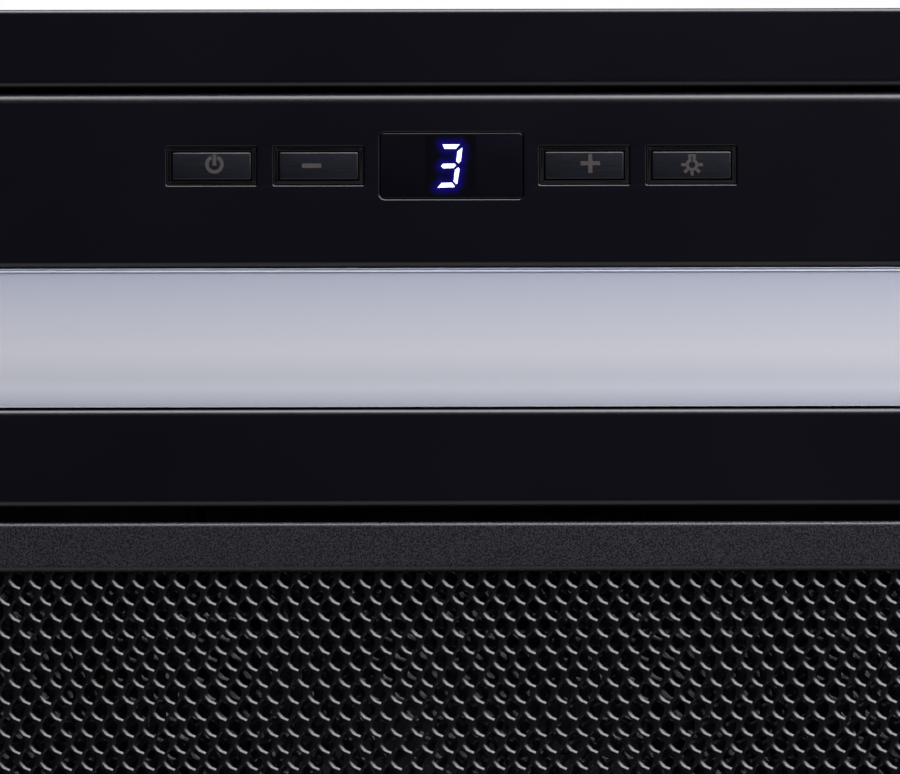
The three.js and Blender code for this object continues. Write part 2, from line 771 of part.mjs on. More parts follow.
function impeller() {
  const half = wheelWidth / 2;
  const rings = [-half, -1, half - 3].map((bottom, place) => {
    const inner = place === 1 ? 4.3 : wheelRadius - bladeDepth + 2;
    const top = bottom + (place === 1 ? 2 : 3);
    return tube(inner, wheelRadius, bottom, top, 24);
  });
  const hub = tube(4.3, 10, -1, 12, 16);
  const blades = Array.from({ length: bladeCount }, (unused, index) => blade(index));
  const wheel = layAlongX(joined(rings[1], hub, ...blades, rings[0], rings[2]));
  return piece('impeller', wheel, galvanised(), [0, wheelAxisY, wheelAxisZ]);
}

function motorShaft() {
  return piece('motor_shaft', layAlongX(rod(4, -20, 11, 16)), brightSteel(), [0, wheelAxisY, wheelAxisZ]);
}

// The motor hangs inside the wheel on the left. Its axis points along X, as turned.
function motor() {
  const profile = [
    [4.4, -4], [4.4, -22], [0, -22], [0, -52], [12, -52], [14, -50], [30, -50], [34, -46], [36, -42],
    [36, -12], [34, -8], [12, -8], [10, -4], [4.4, -4],
  ];
  const geometry = layAlongX(turned(profile, 24));
  return piece('motor', geometry, motorPaint(), [0, wheelAxisY, wheelAxisZ]);
}

// Ring behind the motor with three arms that are screwed to the left side of the scroll.
function motorBracket() {
  const outside = -scrollHalfWidth - clearance;
  const ring = tube(14.4, 24, outside - 6, outside - 4, 18);
  const pad = tube(inletRadius + 2, inletRadius + 9, outside - 2, outside, 24);
  const arms = [0, 1, 2].map((index) => {
    const arm = box(22, inletRadius + 5, -5, 5, outside - 4.6, outside - 1.4);
    return arm.rotateZ((2 * Math.PI * index) / 3 + Math.PI / 6);
  });
  const neck = tube(14.4, 20, outside - 6, -50 - clearance, 18);
  const bracket = layAlongX(joined(ring, pad, neck, ...arms));
  return piece('motor_bracket', bracket, galvanised(), [0, wheelAxisY, wheelAxisZ]);
}

function blower() {
  return assembly(
    scrollWrap(), scrollSide('scroll_side_left', -1), scrollSide('scroll_side_right', 1),
    impeller(), motorShaft(), motor(), motorBracket(),
  );
}

// ---- Duct collar and back-draught damper --------------------------------------------------

function ductCollar() {
  const base = bodyTop + clearance;
  const ringTop = base + collarSheet;
  const inner = ductRadius - collarSheet;
  const seatTop = flapHeight - flapSheet / 2 - clearance;
  const seatInner = inner - 4;
  const bead = collarTop - 8;
  const profile = [
    [inner, base], [ductFlangeRadius, base], [ductFlangeRadius, ringTop], [ductRadius, ringTop],
    [ductRadius, bead - 2], [ductRadius + 1.2, bead], [ductRadius, bead + 2],
    [ductRadius, collarTop], [inner, collarTop],
    [inner, seatTop], [seatInner, seatTop], [seatInner, seatTop - 1], [inner, seatTop - 1], [inner, base],
  ];
  const rodHole = layAlongX(rod(rodRadius + 0.4, -far, far, 10)).translate(0, 0, flapHeight);
  return piece('duct_collar', cut(turned(profile, 32), rodHole), galvanised(), [0, ductY, 0]);
}

function damperRod() {
  const bar = layAlongX(rod(rodRadius, -rodHalfLength, rodHalfLength, 10));
  return piece('damper_rod', bar, brightSteel(), [0, ductY, flapHeight]);
}

// Half of a disc with its knuckles round the rod. The other half's knuckles fill the rest.
function damperFlap(name, side, knuckles) {
  const radius = ductRadius - 2.2;
  const start = 3.8;
  const first = Math.asin(start / radius);
  const steps = 18;
  const rim = [];
  for (let step = 0; step <= steps; step += 1) {
    const angle = first + ((Math.PI - 2 * first) * step) / steps;
    rim.push(new THREE.Vector2(radius * Math.cos(angle), radius * Math.sin(angle)));
  }
  const disc = prism([new THREE.Shape(rim)], -flapSheet / 2, flapSheet / 2);
  const bore = rodRadius + clearance;
  const parts = knuckles.flatMap(([x0, x1]) => [
    box(x0, x1, bore + 0.5, start + 0.4, -flapSheet / 2, flapSheet / 2),
    layAlongX(tube(bore, bore + 1, x0, x1, 12)),
  ]);
  const flap = piece(name, joined(disc, ...parts), aluminium(), [0, ductY, flapHeight]);
  flap.rotation.z = side > 0 ? 0 : Math.PI;
  return flap;
}

function duct() {
  return assembly(
    ductCollar(), damperRod(),
    damperFlap('damper_flap_front', -1, [[-62, -34], [34, 62]]),
    damperFlap('damper_flap_rear', 1, [[-24, 24]]),
  );
}

// ---- Electrical parts ---------------------------------------------------------------------

const bayFace = dividerY - clearance;

function mouldedCase(name, width, depth, bottom, height, x) {
  const outline = rectangle(-width / 2, width / 2, -depth, 0, 3);
  const body = plate(outline, [], 0, height);
  const lid = plate(grown(outline, 1.5), [], height * 0.7, height * 0.7 + 2);
  const raised = joined(body, cut(lid, box(-far, far, 0, far, 0, far)));
  return piece(name, raised, greyPlastic(), [x, bayFace, bottom]);
}

const capacitorX = 150;
const capacitorZ = 120;
const capacitorDrop = 17.6;

function capacitor() {
  const can = turned([[0, -35], [15, -35], [16, -34], [16, 33], [13, 35], [0, 35]], 20);
  return piece('capacitor', layAlongX(can), aluminium(), [capacitorX, bayFace - capacitorDrop, capacitorZ]);
}

function capacitorStrap() {
  const loop = layAlongX(tube(16.3, 17.3, -6, 6, 20)).translate(0, -capacitorDrop, 0);
  const foot = box(-6, 6, -1, 0, -30, 30);
  return piece('capacitor_strap', joined(loop, foot), galvanised(), [capacitorX, bayFace, capacitorZ]);
}

function junctionBox() {
  const bottom = bodyTop + clearance;
  const outline = rectangle(junctionX - 45, junctionX + 45, junctionY - 28, junctionY + 28, 2);
  const shell = plate(outline, [], bottom, bottom + 38);
  const hollow = plate(grown(outline, -1.2), [], bottom + 1.2, bottom + 60);
  const floorHole = rod(8, bottom - 2, bottom + 3, 12).translate(junctionX, junctionY, 0);
  const glandHole = rod(8.3, -4, 4, 16).rotateX(Math.PI / 2);
  glandHole.translate(junctionX, junctionY + 28, bottom + 20);
  return piece('junction_box', cut(shell, hollow, floorHole, glandHole), galvanised());
}

function junctionCover() {
  const bottom = bodyTop + 2 * clearance + 38;
  const outline = rectangle(junctionX - 46, junctionX + 46, junctionY - 29, junctionY + 29, 2);
  return piece('junction_cover', plate(outline, [], bottom, bottom + 1.2), galvanised());
}

function cableGland() {
  const profile = [
    [4.5, -6], [8, -6], [8, 1.5], [12, 1.5], [12, 6], [10, 8], [8.5, 17], [7.5, 18], [4.5, 18], [4.5, -6],
  ];
  const gland = turned(profile, 16).rotateX(-Math.PI / 2);
  return piece('cable_gland', gland, blackPlastic(), [junctionX, junctionY + 28, bodyTop + clearance + 20]);
}

function sweptAlong(points, section, steps) {
  const path = new THREE.CatmullRomCurve3(points.map((point) => new THREE.Vector3(...point)));
  return new THREE.ExtrudeGeometry(section, { steps, extrudePath: path, bevelEnabled: false });
}

function roundSection(radius) {
  const corners = [];
  for (let index = 0; index < 8; index += 1) {
    const angle = (Math.PI * index) / 4;
    corners.push(new THREE.Vector2(radius * Math.cos(angle), radius * Math.sin(angle)));
  }
  return new THREE.Shape(corners);
}

const powerUnitBottom = 60;

function wiring() {
  const supply = [
    [junctionX, junctionY, 205], [junctionX, junctionY, 180], [170, -96, 166], [80, -72, 160],
    [62, -68, 148], [62, -68, 138], [62, -68, 130.6],
  ];
  const motorLead = [
    [-61, wheelAxisY, wheelAxisZ + 34], [-72, 20, 141], [-80, -20, 122], [-80, -38, 111],
    [-80, -54, 110], [-72, -66, 106], [-60.6, -67, 104],
  ];
  const lightLead = [
    [-150, -73, lightTrayTop + 0.4], [-150, -73, 34], [-150, -64, 46], [-150, -62, 54],
    [-150, -62, powerUnitBottom - 0.6],
  ];
  const ribbon = [
    [0, controlsY, 14.6], [0, controlsY, 26], [0, -112, 40], [0, -76, 44], [0, -67, 52],
    [0, -67, powerUnitBottom - 0.4],
  ];
  const flat = new THREE.Shape([[-6, -0.6], [6, -0.6], [6, 0.6], [-6, 0.6]].map(
    ([x, y]) => new THREE.Vector2(x, y),
  ));
  return [
    piece('supply_lead', sweptAlong(supply, roundSection(3.5), 20), cableSheath()),
    piece('motor_lead', sweptAlong(motorLead, roundSection(3), 18), cableSheath()),
    piece('light_lead', sweptAlong(lightLead, roundSection(2.2), 8), cableSheath()),
    piece('display_ribbon', sweptAlong(ribbon, flat, 16), greyPlastic()),
  ];
}

function electrics() {
  return assembly(
    mouldedCase('power_unit', 150, 42, powerUnitBottom, 70, 15),
    mouldedCase('light_driver', 100, 30, powerUnitBottom, 26, -150),
    capacitor(), capacitorStrap(), junctionBox(), junctionCover(), cableGland(), ...wiring(),
  );
}

// ---- The whole insert ---------------------------------------------------------------------

const group = new THREE.Group();
group.add(
  assembly(flangeFrame(), undersidePanel()),
  controls(),
  assembly(lightDiffuser(), lightTray(), ledStrip()),
  greaseFilter(),
  housing(),
  blower(),
  duct(),
  electrics(),
);

export default group;
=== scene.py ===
import math
import bmesh
import bpy
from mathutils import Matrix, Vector


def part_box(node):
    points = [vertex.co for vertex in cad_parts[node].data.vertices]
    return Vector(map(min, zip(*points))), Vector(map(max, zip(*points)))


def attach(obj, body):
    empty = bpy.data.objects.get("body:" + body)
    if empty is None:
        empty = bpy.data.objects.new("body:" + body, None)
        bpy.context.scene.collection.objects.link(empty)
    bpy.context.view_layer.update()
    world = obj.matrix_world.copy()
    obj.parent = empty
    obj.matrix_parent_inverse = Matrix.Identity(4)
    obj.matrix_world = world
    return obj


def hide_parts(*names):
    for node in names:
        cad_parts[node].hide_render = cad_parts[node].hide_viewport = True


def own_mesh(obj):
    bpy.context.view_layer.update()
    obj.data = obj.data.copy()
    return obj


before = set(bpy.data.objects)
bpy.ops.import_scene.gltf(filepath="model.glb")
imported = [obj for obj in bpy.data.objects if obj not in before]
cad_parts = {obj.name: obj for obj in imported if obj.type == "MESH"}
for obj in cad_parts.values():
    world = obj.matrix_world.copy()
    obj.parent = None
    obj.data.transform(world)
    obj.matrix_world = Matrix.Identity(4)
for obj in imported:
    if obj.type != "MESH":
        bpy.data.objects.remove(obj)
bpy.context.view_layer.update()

# ---- Trim flange -----------------------------------------------------
# The frame round the cut-out: 1.2 mm steel, folded up all round, its outer edge folded back in
# to bear on the cabinet floor. It is welded at the mitres and powder coated satin black.

MM = 0.001


def deselect():
    """Leaves edit mode, wherever the last piece was left open, and clears the selection."""
    if bpy.context.object and bpy.context.object.mode != "OBJECT":
        bpy.ops.object.mode_set(mode="OBJECT")
    bpy.ops.object.select_all(action="DESELECT")


def take(piece):
    """Makes a piece the active and the only selected one."""
    deselect()
    bpy.context.view_layer.objects.active = piece
    piece.select_set(True)


def edit(piece, action="DESELECT"):
    """Opens a piece in edit mode with nothing selected, or with all of it."""
    take(piece)
    bpy.ops.object.mode_set(mode="EDIT")
    bpy.ops.mesh.select_all(action=action)


def pick(kind, test):
    """Selects the open piece's verts, edges or faces that pass a test, and nothing else."""
    bpy.ops.mesh.select_mode(type={"verts": "VERT", "edges": "EDGE", "faces": "FACE"}[kind])
    bpy.ops.mesh.select_all(action="DESELECT")
    mesh = bmesh.from_edit_mesh(bpy.context.object.data)
    for part in getattr(mesh, kind):
        if test(part):
            part.select_set(True)
    bmesh.update_edit_mesh(bpy.context.object.data)


def middle(part):
    """The middle of an edge or a face."""
    return sum((vert.co for vert in part.verts), Vector()) / len(part.verts)


def settle(piece, name=None):
    """Puts the object's place into its mesh and the origin at the frame's origin."""
    take(piece)
    bpy.ops.object.transform_apply(location=True, rotation=True, scale=True)
    if name:
        piece.name = name
        piece.data.name = name
    return piece


def block(name, low, high):
    """A cube primitive stretched between two corners."""
    deselect()
    bpy.ops.mesh.primitive_cube_add(size=1)
    piece = bpy.context.object
    piece.location = [(a + b) / 2 for a, b in zip(low, high)]
    piece.scale = [b - a for a, b in zip(low, high)]
    return settle(piece, name)


def apply_modifier(piece, kind, **settings):
    """Adds a modifier with its settings and applies it."""
    take(piece)
    modifier = piece.modifiers.new(kind.title(), kind)
    for setting, value in settings.items():
        setattr(modifier, setting, value)
    bpy.ops.object.modifier_apply(modifier=modifier.name)
    return piece


def smooth(piece, degrees=35):
    """Shades a piece smooth, except across edges sharper than an angle."""
    take(piece)
    bpy.ops.object.shade_smooth_by_angle(angle=math.radians(degrees))
    return piece


def weight_normals(piece):
    """Lets the large flat faces decide the shading, so bends and rounded edges don't darken them."""
    return apply_modifier(piece, "WEIGHTED_NORMAL", keep_sharp=True, weight=80)


def finished(piece, material, body, *nodes, slot=None):
    """Gives a piece its finish, its body and the CAD nodes that it stands for."""
    piece.data.materials.clear()
    piece.data.materials.append(material)
    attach(piece, body)
    if nodes:
        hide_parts(*nodes)
    return piece


def near_rim(point, area, reach=3 * MM, slack=0.02 * MM):
    """Whether a point of a rounded outline belongs to the rectangle it was cut from."""
    x0, x1, y0, y1 = area
    return -reach <= max(x0 - point.x, point.x - x1, y0 - point.y, point.y - y1) < slack


def inset(area, distance):
    """A rectangle, given as x0, x1, y0, y1, drawn in by a distance."""
    return (area[0] + distance, area[1] - distance, area[2] + distance, area[3] - distance)


def plane(centre, size, turn=0.0):
    """A plane primitive of a size about a centre, turned about Z."""
    deselect()
    bpy.ops.mesh.primitive_plane_add(size=1, location=centre, rotation=(0, 0, turn))
    piece = bpy.context.object
    piece.scale = (*size, 1)
    return settle(piece)


def rounded_outline(area, radius, z):
    """The edges of a rectangle with rounded corners."""
    piece = plane(((area[0] + area[1]) / 2, (area[2] + area[3]) / 2, z),
                  (area[1] - area[0], area[3] - area[2]))
    edit(piece, "SELECT")
    bpy.ops.mesh.bevel(offset=radius, segments=8, affect="VERTICES")
    bpy.ops.mesh.select_all(action="SELECT")
    bpy.ops.mesh.delete(type="ONLY_FACE")
    return piece


def join(name, pieces):
    """Joins pieces into the first of them."""
    deselect()
    for piece in pieces:
        piece.select_set(True)
    bpy.context.view_layer.objects.active = pieces[0]
    if len(pieces) > 1:
        bpy.ops.object.join()
    return settle(bpy.context.object, name)


def face_down(piece):
    """Turns a flat piece's faces downwards."""
    edit(piece)
    mesh = bmesh.from_edit_mesh(piece.data)
    for face in mesh.faces:
        face.normal_update()
        if face.normal.z > 0:
            face.normal_flip()
    bmesh.update_edit_mesh(piece.data)


def blank(name, z, *outlines):
    """A flat sheet that faces down, from the areas and corner radii of its rim and its holes."""
    sheet = join(name, [rounded_outline(area, radius, z) for area, radius in outlines])
    edit(sheet, "SELECT")
    bpy.ops.mesh.fill(use_beauty=True)
    bpy.ops.mesh.select_all(action="SELECT")
    bpy.ops.mesh.beautify_fill()
    face_down(sheet)
    edit(sheet)
    return sheet


def face_outwards():
    """Turns every face of the open piece outwards."""
    bpy.ops.mesh.select_all(action="SELECT")
    bpy.ops.mesh.normals_make_consistent(inside=False)


def draw_edges(height=0.0):
    """Extrudes the selected edges upwards."""
    bpy.ops.mesh.extrude_edges_move(TRANSFORM_OT_translate={"value": (0, 0, height)})


def fold(area, z, path):
    """Folds the sheet's edge round an area along a path of insets and heights above the sheet.
    The path starts where the edge lies now, or else where the last fold ended."""
    width, depth = area[1] - area[0], area[3] - area[2]
    centre = ((area[0] + area[1]) / 2, (area[2] + area[3]) / 2, 0)
    start = inset(area, path[0][0])
    pick("edges", lambda edge: edge.is_boundary and near_rim(middle(edge), start)
         and abs(middle(edge).z - z - path[0][1]) < 1e-6)
    for (before, low), (after, high) in zip(path, path[1:]):
        draw_edges(high - low)
        bpy.ops.transform.resize(value=((width - 2 * after) / (width - 2 * before),
                                        (depth - 2 * after) / (depth - 2 * before), 1),
                                 center_override=centre)


def upward(radius, side=1, steps=6):
    """The path of a bend from level to upright: side is 1 at a rim and -1 at a hole."""
    turns = [math.pi / 2 * step / steps for step in range(steps + 1)]
    return [(side * radius * (1 - math.sin(turn)), radius * (1 - math.cos(turn))) for turn in turns]


def inward(radius, height, steps=4):
    """The path of a bend from upright to level at a height, towards the inside."""
    turns = [math.pi / 2 * step / steps for step in range(steps + 1)]
    return [(radius * (1 - math.cos(turn)), height - radius * (1 - math.sin(turn))) for turn in turns]


def thicken(sheet, thickness):
    """Gives a folded sheet its thickness, behind the face that shows."""
    edit(sheet)
    face_outwards()
    apply_modifier(sheet, "SOLIDIFY", thickness=thickness, offset=-1, use_even_offset=True,
                   use_quality_normals=True)
    return weight_normals(smooth(sheet))


def linear(hex_colour):
    """The linear colour of an sRGB hex value."""
    channels = [int(hex_colour[place:place + 2], 16) / 255 for place in (1, 3, 5)]
    return tuple(c / 12.92 if c <= 0.04045 else ((c + 0.055) / 1.055) ** 2.4
                 for c in channels) + (1.0,)


def feed(tree, node, inputs):
    """Sets a node's inputs. An input is a value, or the output socket that feeds it."""
    for socket, value in inputs.items():
        if isinstance(value, bpy.types.NodeSocket):
            tree.links.new(value, node.inputs[socket])
        else:
            node.inputs[socket].default_value = value


def add_node(tree, kind, inputs=None, **settings):
    """Adds a node with its inputs and settings."""
    added = tree.nodes.new(kind)
    for setting, value in settings.items():
        setattr(added, setting, value)
    feed(tree, added, inputs or {})
    return added


def surface(name, **values):
    """A material with its uniform values on the shader's own sockets."""
    material = bpy.data.materials.new(name)
    material.use_nodes = True
    tree = material.node_tree
    shader = tree.nodes["Principled BSDF"]
    feed(tree, shader, {socket.replace("_", " "): value for socket, value in values.items()})
    place = add_node(tree, "ShaderNodeTexCoord").outputs["Object"]
    return material, tree, shader, place


def tinted(tree, factor, dark, light, low=0.3, high=0.7):
    """A colour that runs from dark to light as a pattern goes from low to high."""
    ramp = add_node(tree, "ShaderNodeValToRGB", {"Fac": factor})
    ramp.color_ramp.elements[0].position = low
    ramp.color_ramp.elements[0].color = linear(dark)
    ramp.color_ramp.elements[1].position = high
    ramp.color_ramp.elements[1].color = linear(light)
    return ramp.outputs["Color"]


def powder_coat():
    """Satin powder coat: a melted film with a shallow orange peel about 1.2 mm across, and the
    finest dust in it. It shows as soft, slightly broken highlights on a bluish black."""
    material, tree, shader, place = surface("powder_coated_steel_satin_black", Specular_IOR_Level=0.5)
    peel, dust, cloud = [
        add_node(tree, "ShaderNodeTexNoise",
                 {"Vector": place, "Scale": 1 / (grain * MM), "Detail": detail}).outputs["Fac"]
        for grain, detail in ((1.2, 1.0), (0.25, 2.0), (70, 3.0))]
    rough = add_node(tree, "ShaderNodeMapRange", {"Value": cloud, "To Min": 0.29, "To Max": 0.36})
    fine = add_node(tree, "ShaderNodeBump", {"Height": dust, "Distance": 0.01 * MM, "Strength": 0.35})
    bump = add_node(tree, "ShaderNodeBump", {"Height": peel, "Distance": 0.02 * MM, "Strength": 0.3,
                                             "Normal": fine.outputs["Normal"]})
    feed(tree, shader, {"Base Color": tinted(tree, dust, "#04030b", "#070611"),
                        "Roughness": rough.outputs["Result"], "Normal": bump.outputs["Normal"]})
    return material


SATIN_BLACK = powder_coat()

flange_low, flange_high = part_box("trim_flange")
FLANGE_WIDTH = 23.3 * MM
FLANGE_AREA = (flange_low.x, flange_high.x, flange_low.y, flange_high.y)
CUT_OUT = inset(FLANGE_AREA, FLANGE_WIDTH)
FLANGE_RIM = 8 * MM
FLANGE_RETURN = 12 * MM
FLANGE_SHEET = 1.2 * MM
RIM_BEND = 1.5 * MM
RIM_CORNER = 3.5 * MM
CUT_BEND = 2.4 * MM
CUT_CORNER = 4.5 * MM

flange = blank("flange", 0, (inset(FLANGE_AREA, RIM_BEND), RIM_CORNER),
               (inset(CUT_OUT, -CUT_BEND), CUT_CORNER))
fold(FLANGE_AREA, 0, upward(RIM_BEND) + inward(RIM_BEND, FLANGE_RIM) + [(FLANGE_RETURN, FLANGE_RIM)])
fold(CUT_OUT, 0, upward(CUT_BEND, -1) + [(0, flange_high.z)])
thicken(flange, FLANGE_SHEET)
finished(flange, SATIN_BLACK, "root", "trim_flange", slot="satin_black_steel")

# ---- Underside panel -------------------------------------------------
# One pressing of 1 mm steel: control strip, slot for the light, cross strip and slot for the
# filter. The slots' edges are folded up; the windows of the controls are punched.

panel_low, panel_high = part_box("underside_panel")
PANEL_REACH = 0.9 * MM  # the front edge stands this much nearer to the flange than its solid
PANEL_AREA = (panel_low.x, panel_high.x, panel_low.y - PANEL_REACH, panel_high.y)
PANEL_SHEET = 1.0 * MM
PANEL_CORNER = 4 * MM
SLOT_SIDE = 222 * MM
FRONT = flange_low.y
LIGHT_SLOT = (-SLOT_SIDE, SLOT_SIDE, FRONT + 76.4 * MM, FRONT + 117.8 * MM)
FILTER_SLOT = (-SLOT_SIDE, SLOT_SIDE, FRONT + 147.1 * MM, FRONT + 298.7 * MM)
CONTROLS_Y = FRONT + 46.3 * MM
BUTTON_X = {"power": -70.8 * MM, "minus": -39.2 * MM, "plus": 39.2 * MM, "light": 70.8 * MM}
PUNCH = (26.7 * MM, 11.5 * MM)
PUNCH_CORNER = 0.6 * MM
WINDOW = (42.5 * MM, 19.8 * MM)
WINDOW_CORNER = 1.3 * MM
PUNCH_CHAMFER = 0.45 * MM
PUNCH_BURR = 1.2 * MM
LIP_HEIGHT = panel_high.z


def area_round(x, y, size):
    """The rectangle of a size about a point."""
    return (x - size[0] / 2, x + size[0] / 2, y - size[1] / 2, y + size[1] / 2)


punches = [area_round(x, CONTROLS_Y, PUNCH) for x in BUTTON_X.values()]
window = area_round(0, CONTROLS_Y, WINDOW)
# The edges that are folded: area, radius of the bend, and 1 at the rim or -1 at a slot.
PANEL_FOLDS = ((PANEL_AREA, 3.8 * MM, 1), (LIGHT_SLOT, 2.3 * MM, -1), (FILTER_SLOT, 2.6 * MM, -1))
panel = blank("panel", 0, *[(inset(area, side * bend), PANEL_CORNER) for area, bend, side in PANEL_FOLDS],
              *[(inset(area, -PUNCH_CHAMFER), PUNCH_CORNER) for area in punches],
              (inset(window, -PUNCH_CHAMFER), WINDOW_CORNER + PUNCH_CHAMFER))
for area, bend, side in PANEL_FOLDS:
    fold(area, 0, upward(bend, side) + [(0, LIP_HEIGHT)])
for area in (*punches, window):
    fold(area, 0, upward(PUNCH_CHAMFER, -1, 3) + [(0, PUNCH_BURR)])
thicken(panel, PANEL_SHEET)
finished(panel, SATIN_BLACK, "root", "underside_panel", slot="satin_black_steel")

# ---- Button carrier and push buttons ---------------------------------
# A black ABS moulding fixed behind the panel fills the punched openings with thin rims. Four
# moulded caps with softened edges slide in it, each with a pad-printed symbol on its face.


def grained(name, grain, detail, shades, relief=None, drawn=None, **values):
    """A material with one grain, given in mm. It runs the colour between two shades and, with a
    relief of depth in mm and strength, raises the surface. Where it is drawn out along X, drawn
    is its width as a share of its length."""
    material, tree, shader, place = surface(name, **values)
    if drawn:
        stretched = add_node(tree, "ShaderNodeMapping", {"Vector": place, "Scale": (drawn, 1, 1)})
        place = stretched.outputs["Vector"]
    pattern = add_node(tree, "ShaderNodeTexNoise",
                       {"Vector": place, "Scale": 1 / (grain * MM), "Detail": detail}).outputs["Fac"]
    feed(tree, shader, {"Base Color": tinted(tree, pattern, *shades)})
    if relief:
        bump = add_node(tree, "ShaderNodeBump",
                        {"Height": pattern, "Distance": relief[0] * MM, "Strength": relief[1]})
        feed(tree, shader, {"Normal": bump.outputs["Normal"]})
    return material


def moulded_abs(name, shades, roughness, grain):
    """Moulded ABS: a spark-eroded grain given in mm gives a soft, even sheen."""
    return grained(name, grain, 2.0, shades, (0.03, 0.3), Roughness=roughness, IOR=1.53)


def drawn_cap():
    """ABS caps whose mould was finished by drawing emery along it: fine lines 0.3 mm apart run
    along the cap and break up its bluish sheen. They are drawn coarser than real ones."""
    return grained("moulded_abs_drawn_blue_black", 0.3, 3.0, ("#101116", "#1c1e24"), (0.02, 0.4),
                   drawn=0.06, Roughness=0.34, IOR=1.53)


def pad_print():
    """Warm grey ink, laid 0.03 mm thick by a pad: dull, with pinholes 0.2 mm across."""
    return grained("pad_printed_ink_warm_grey", 0.2, 2.0, ("#3a322e", "#50484a"), Roughness=0.6)


CAP_FINISH = drawn_cap()
INK = pad_print()
BLACK_ABS = moulded_abs("moulded_abs_black", ("#070709", "#0d0d10"), roughness=0.45, grain=0.4)

BUTTON_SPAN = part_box("button_power")[1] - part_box("button_power")[0]
CAP_RIM = 1.2 * MM
CAP_SIZE = (BUTTON_SPAN.x - 2 * CAP_RIM, BUTTON_SPAN.y - 2 * CAP_RIM)
CAP_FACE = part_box("button_power")[0].z
CAP_RIM_Z = CAP_FACE + 4.0 * MM
CAP_RIM_SHEET = 1.0 * MM
PLUNGER_WIDTH = 4 * MM
PLUNGER_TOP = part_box("button_power")[1].z
CAP_ROUND = 0.42 * MM
BEZEL_SIZE = (26.1 * MM, 10.9 * MM)
BEZEL_GAP = 0.45 * MM
BEZEL_HEIGHT = 0.9 * MM
BEZEL_ROUND = 0.25 * MM


def raise_face(height, scale=(1, 1, 1), centre=(0, 0, 0)):
    """Extrudes the selected face and resizes its end."""
    bpy.ops.mesh.extrude_region_move(TRANSFORM_OT_translate={"value": (0, 0, height)})
    bpy.ops.transform.resize(value=scale, center_override=centre)


def copied(piece, name, move=(0, 0, 0)):
    """A moved copy of a piece, with its own mesh."""
    take(piece)
    bpy.ops.object.duplicate(linked=False)
    twin = bpy.context.object
    twin.location += Vector(move)
    return settle(twin, name)


def cap():
    """A cap in the middle of the row: face, rim that keeps it in, and plunger."""
    width, depth = CAP_SIZE
    piece = block("cap", (-width / 2, CONTROLS_Y - depth / 2, CAP_FACE),
                  (width / 2, CONTROLS_Y + depth / 2, CAP_RIM_Z))
    centre = (0, CONTROLS_Y, CAP_RIM_Z)
    edit(piece)
    pick("faces", lambda face: face.normal.z > 0.9)
    raise_face(0, (1 + 2 * CAP_RIM / width, 1 + 2 * CAP_RIM / depth, 1), centre)
    raise_face(CAP_RIM_SHEET)
    raise_face(0, (PLUNGER_WIDTH / (width + 2 * CAP_RIM), PLUNGER_WIDTH / (depth + 2 * CAP_RIM), 1), centre)
    raise_face(PLUNGER_TOP - CAP_RIM_Z - CAP_RIM_SHEET)
    pick("edges", lambda edge: middle(edge).z < CAP_FACE + 0.1 * MM
         or (abs(edge.verts[0].co.z - edge.verts[1].co.z) > 3 * MM))
    bpy.ops.mesh.bevel(offset=CAP_ROUND, segments=4, affect="EDGES")
    return smooth(piece, 40)


def bezel():
    """A thin rim of the carrier, round one cap."""
    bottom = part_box("button_carrier")[0].z
    piece = plane((0, CONTROLS_Y, bottom + BEZEL_HEIGHT), BEZEL_SIZE)
    edit(piece, "SELECT")
    bpy.ops.mesh.inset(thickness=(BEZEL_SIZE[0] - CAP_SIZE[0]) / 2 - BEZEL_GAP)
    bpy.ops.mesh.delete(type="FACE")
    bpy.ops.mesh.select_all(action="SELECT")
    bpy.ops.mesh.extrude_region_move(TRANSFORM_OT_translate={"value": (0, 0, -BEZEL_HEIGHT)})
    face_outwards()
    pick("edges", lambda edge: abs(middle(edge).z - bottom) < 1e-6)
    bpy.ops.mesh.bevel(offset=BEZEL_ROUND, segments=3, affect="EDGES")
    return smooth(piece, 40)


first_cap = cap()
first_bezel = bezel()
for side, x in BUTTON_X.items():
    finished(copied(first_cap, f"cap_{side}", (x, 0, 0)), CAP_FINISH, f"{side}_button",
             f"button_{side}", slot="button_plastic")
    finished(copied(first_bezel, f"bezel_{side}", (x, 0, 0)), BLACK_ABS, "root", slot="black_plastic")
for spare in (first_cap, first_bezel):
    bpy.data.objects.remove(spare)

INK_TOP = CAP_FACE + 0.01 * MM
INK_SKIN = 0.04 * MM


def ink_bar(x, y, size, turn=0.0, corner=0.0):
    """A printed bar of a size, turned about its middle, with rounded corners if they have a radius."""
    bar = plane((x, CONTROLS_Y + y, INK_TOP), size, turn)
    if corner:
        edit(bar, "SELECT")
        bpy.ops.mesh.bevel(offset=corner, segments=3, affect="VERTICES")
    return bar


def ink_ring(x, y, outer, inner, gap):
    """A printed ring, open towards the front by the gap's angle in degrees."""
    deselect()
    centre = (x, CONTROLS_Y + y, INK_TOP)
    bpy.ops.mesh.primitive_circle_add(vertices=48, radius=outer, location=centre)
    ring = settle(bpy.context.object)
    edit(ring, "SELECT")
    draw_edges()
    bpy.ops.transform.resize(value=(inner / outer, inner / outer, 1), center_override=centre)
    half_gap = math.radians(gap) / 2
    pick("faces", lambda face: abs(math.atan2(middle(face).x - x, centre[1] - middle(face).y)) < half_gap)
    bpy.ops.mesh.delete(type="FACE")
    return ring


def printed(name, body, *marks):
    """Joins a symbol's marks and gives the ink its thickness."""
    symbol = join(name, marks)
    face_down(symbol)
    apply_modifier(symbol, "SOLIDIFY", thickness=INK_SKIN, offset=1)
    return finished(symbol, INK, body, slot="button_plastic")


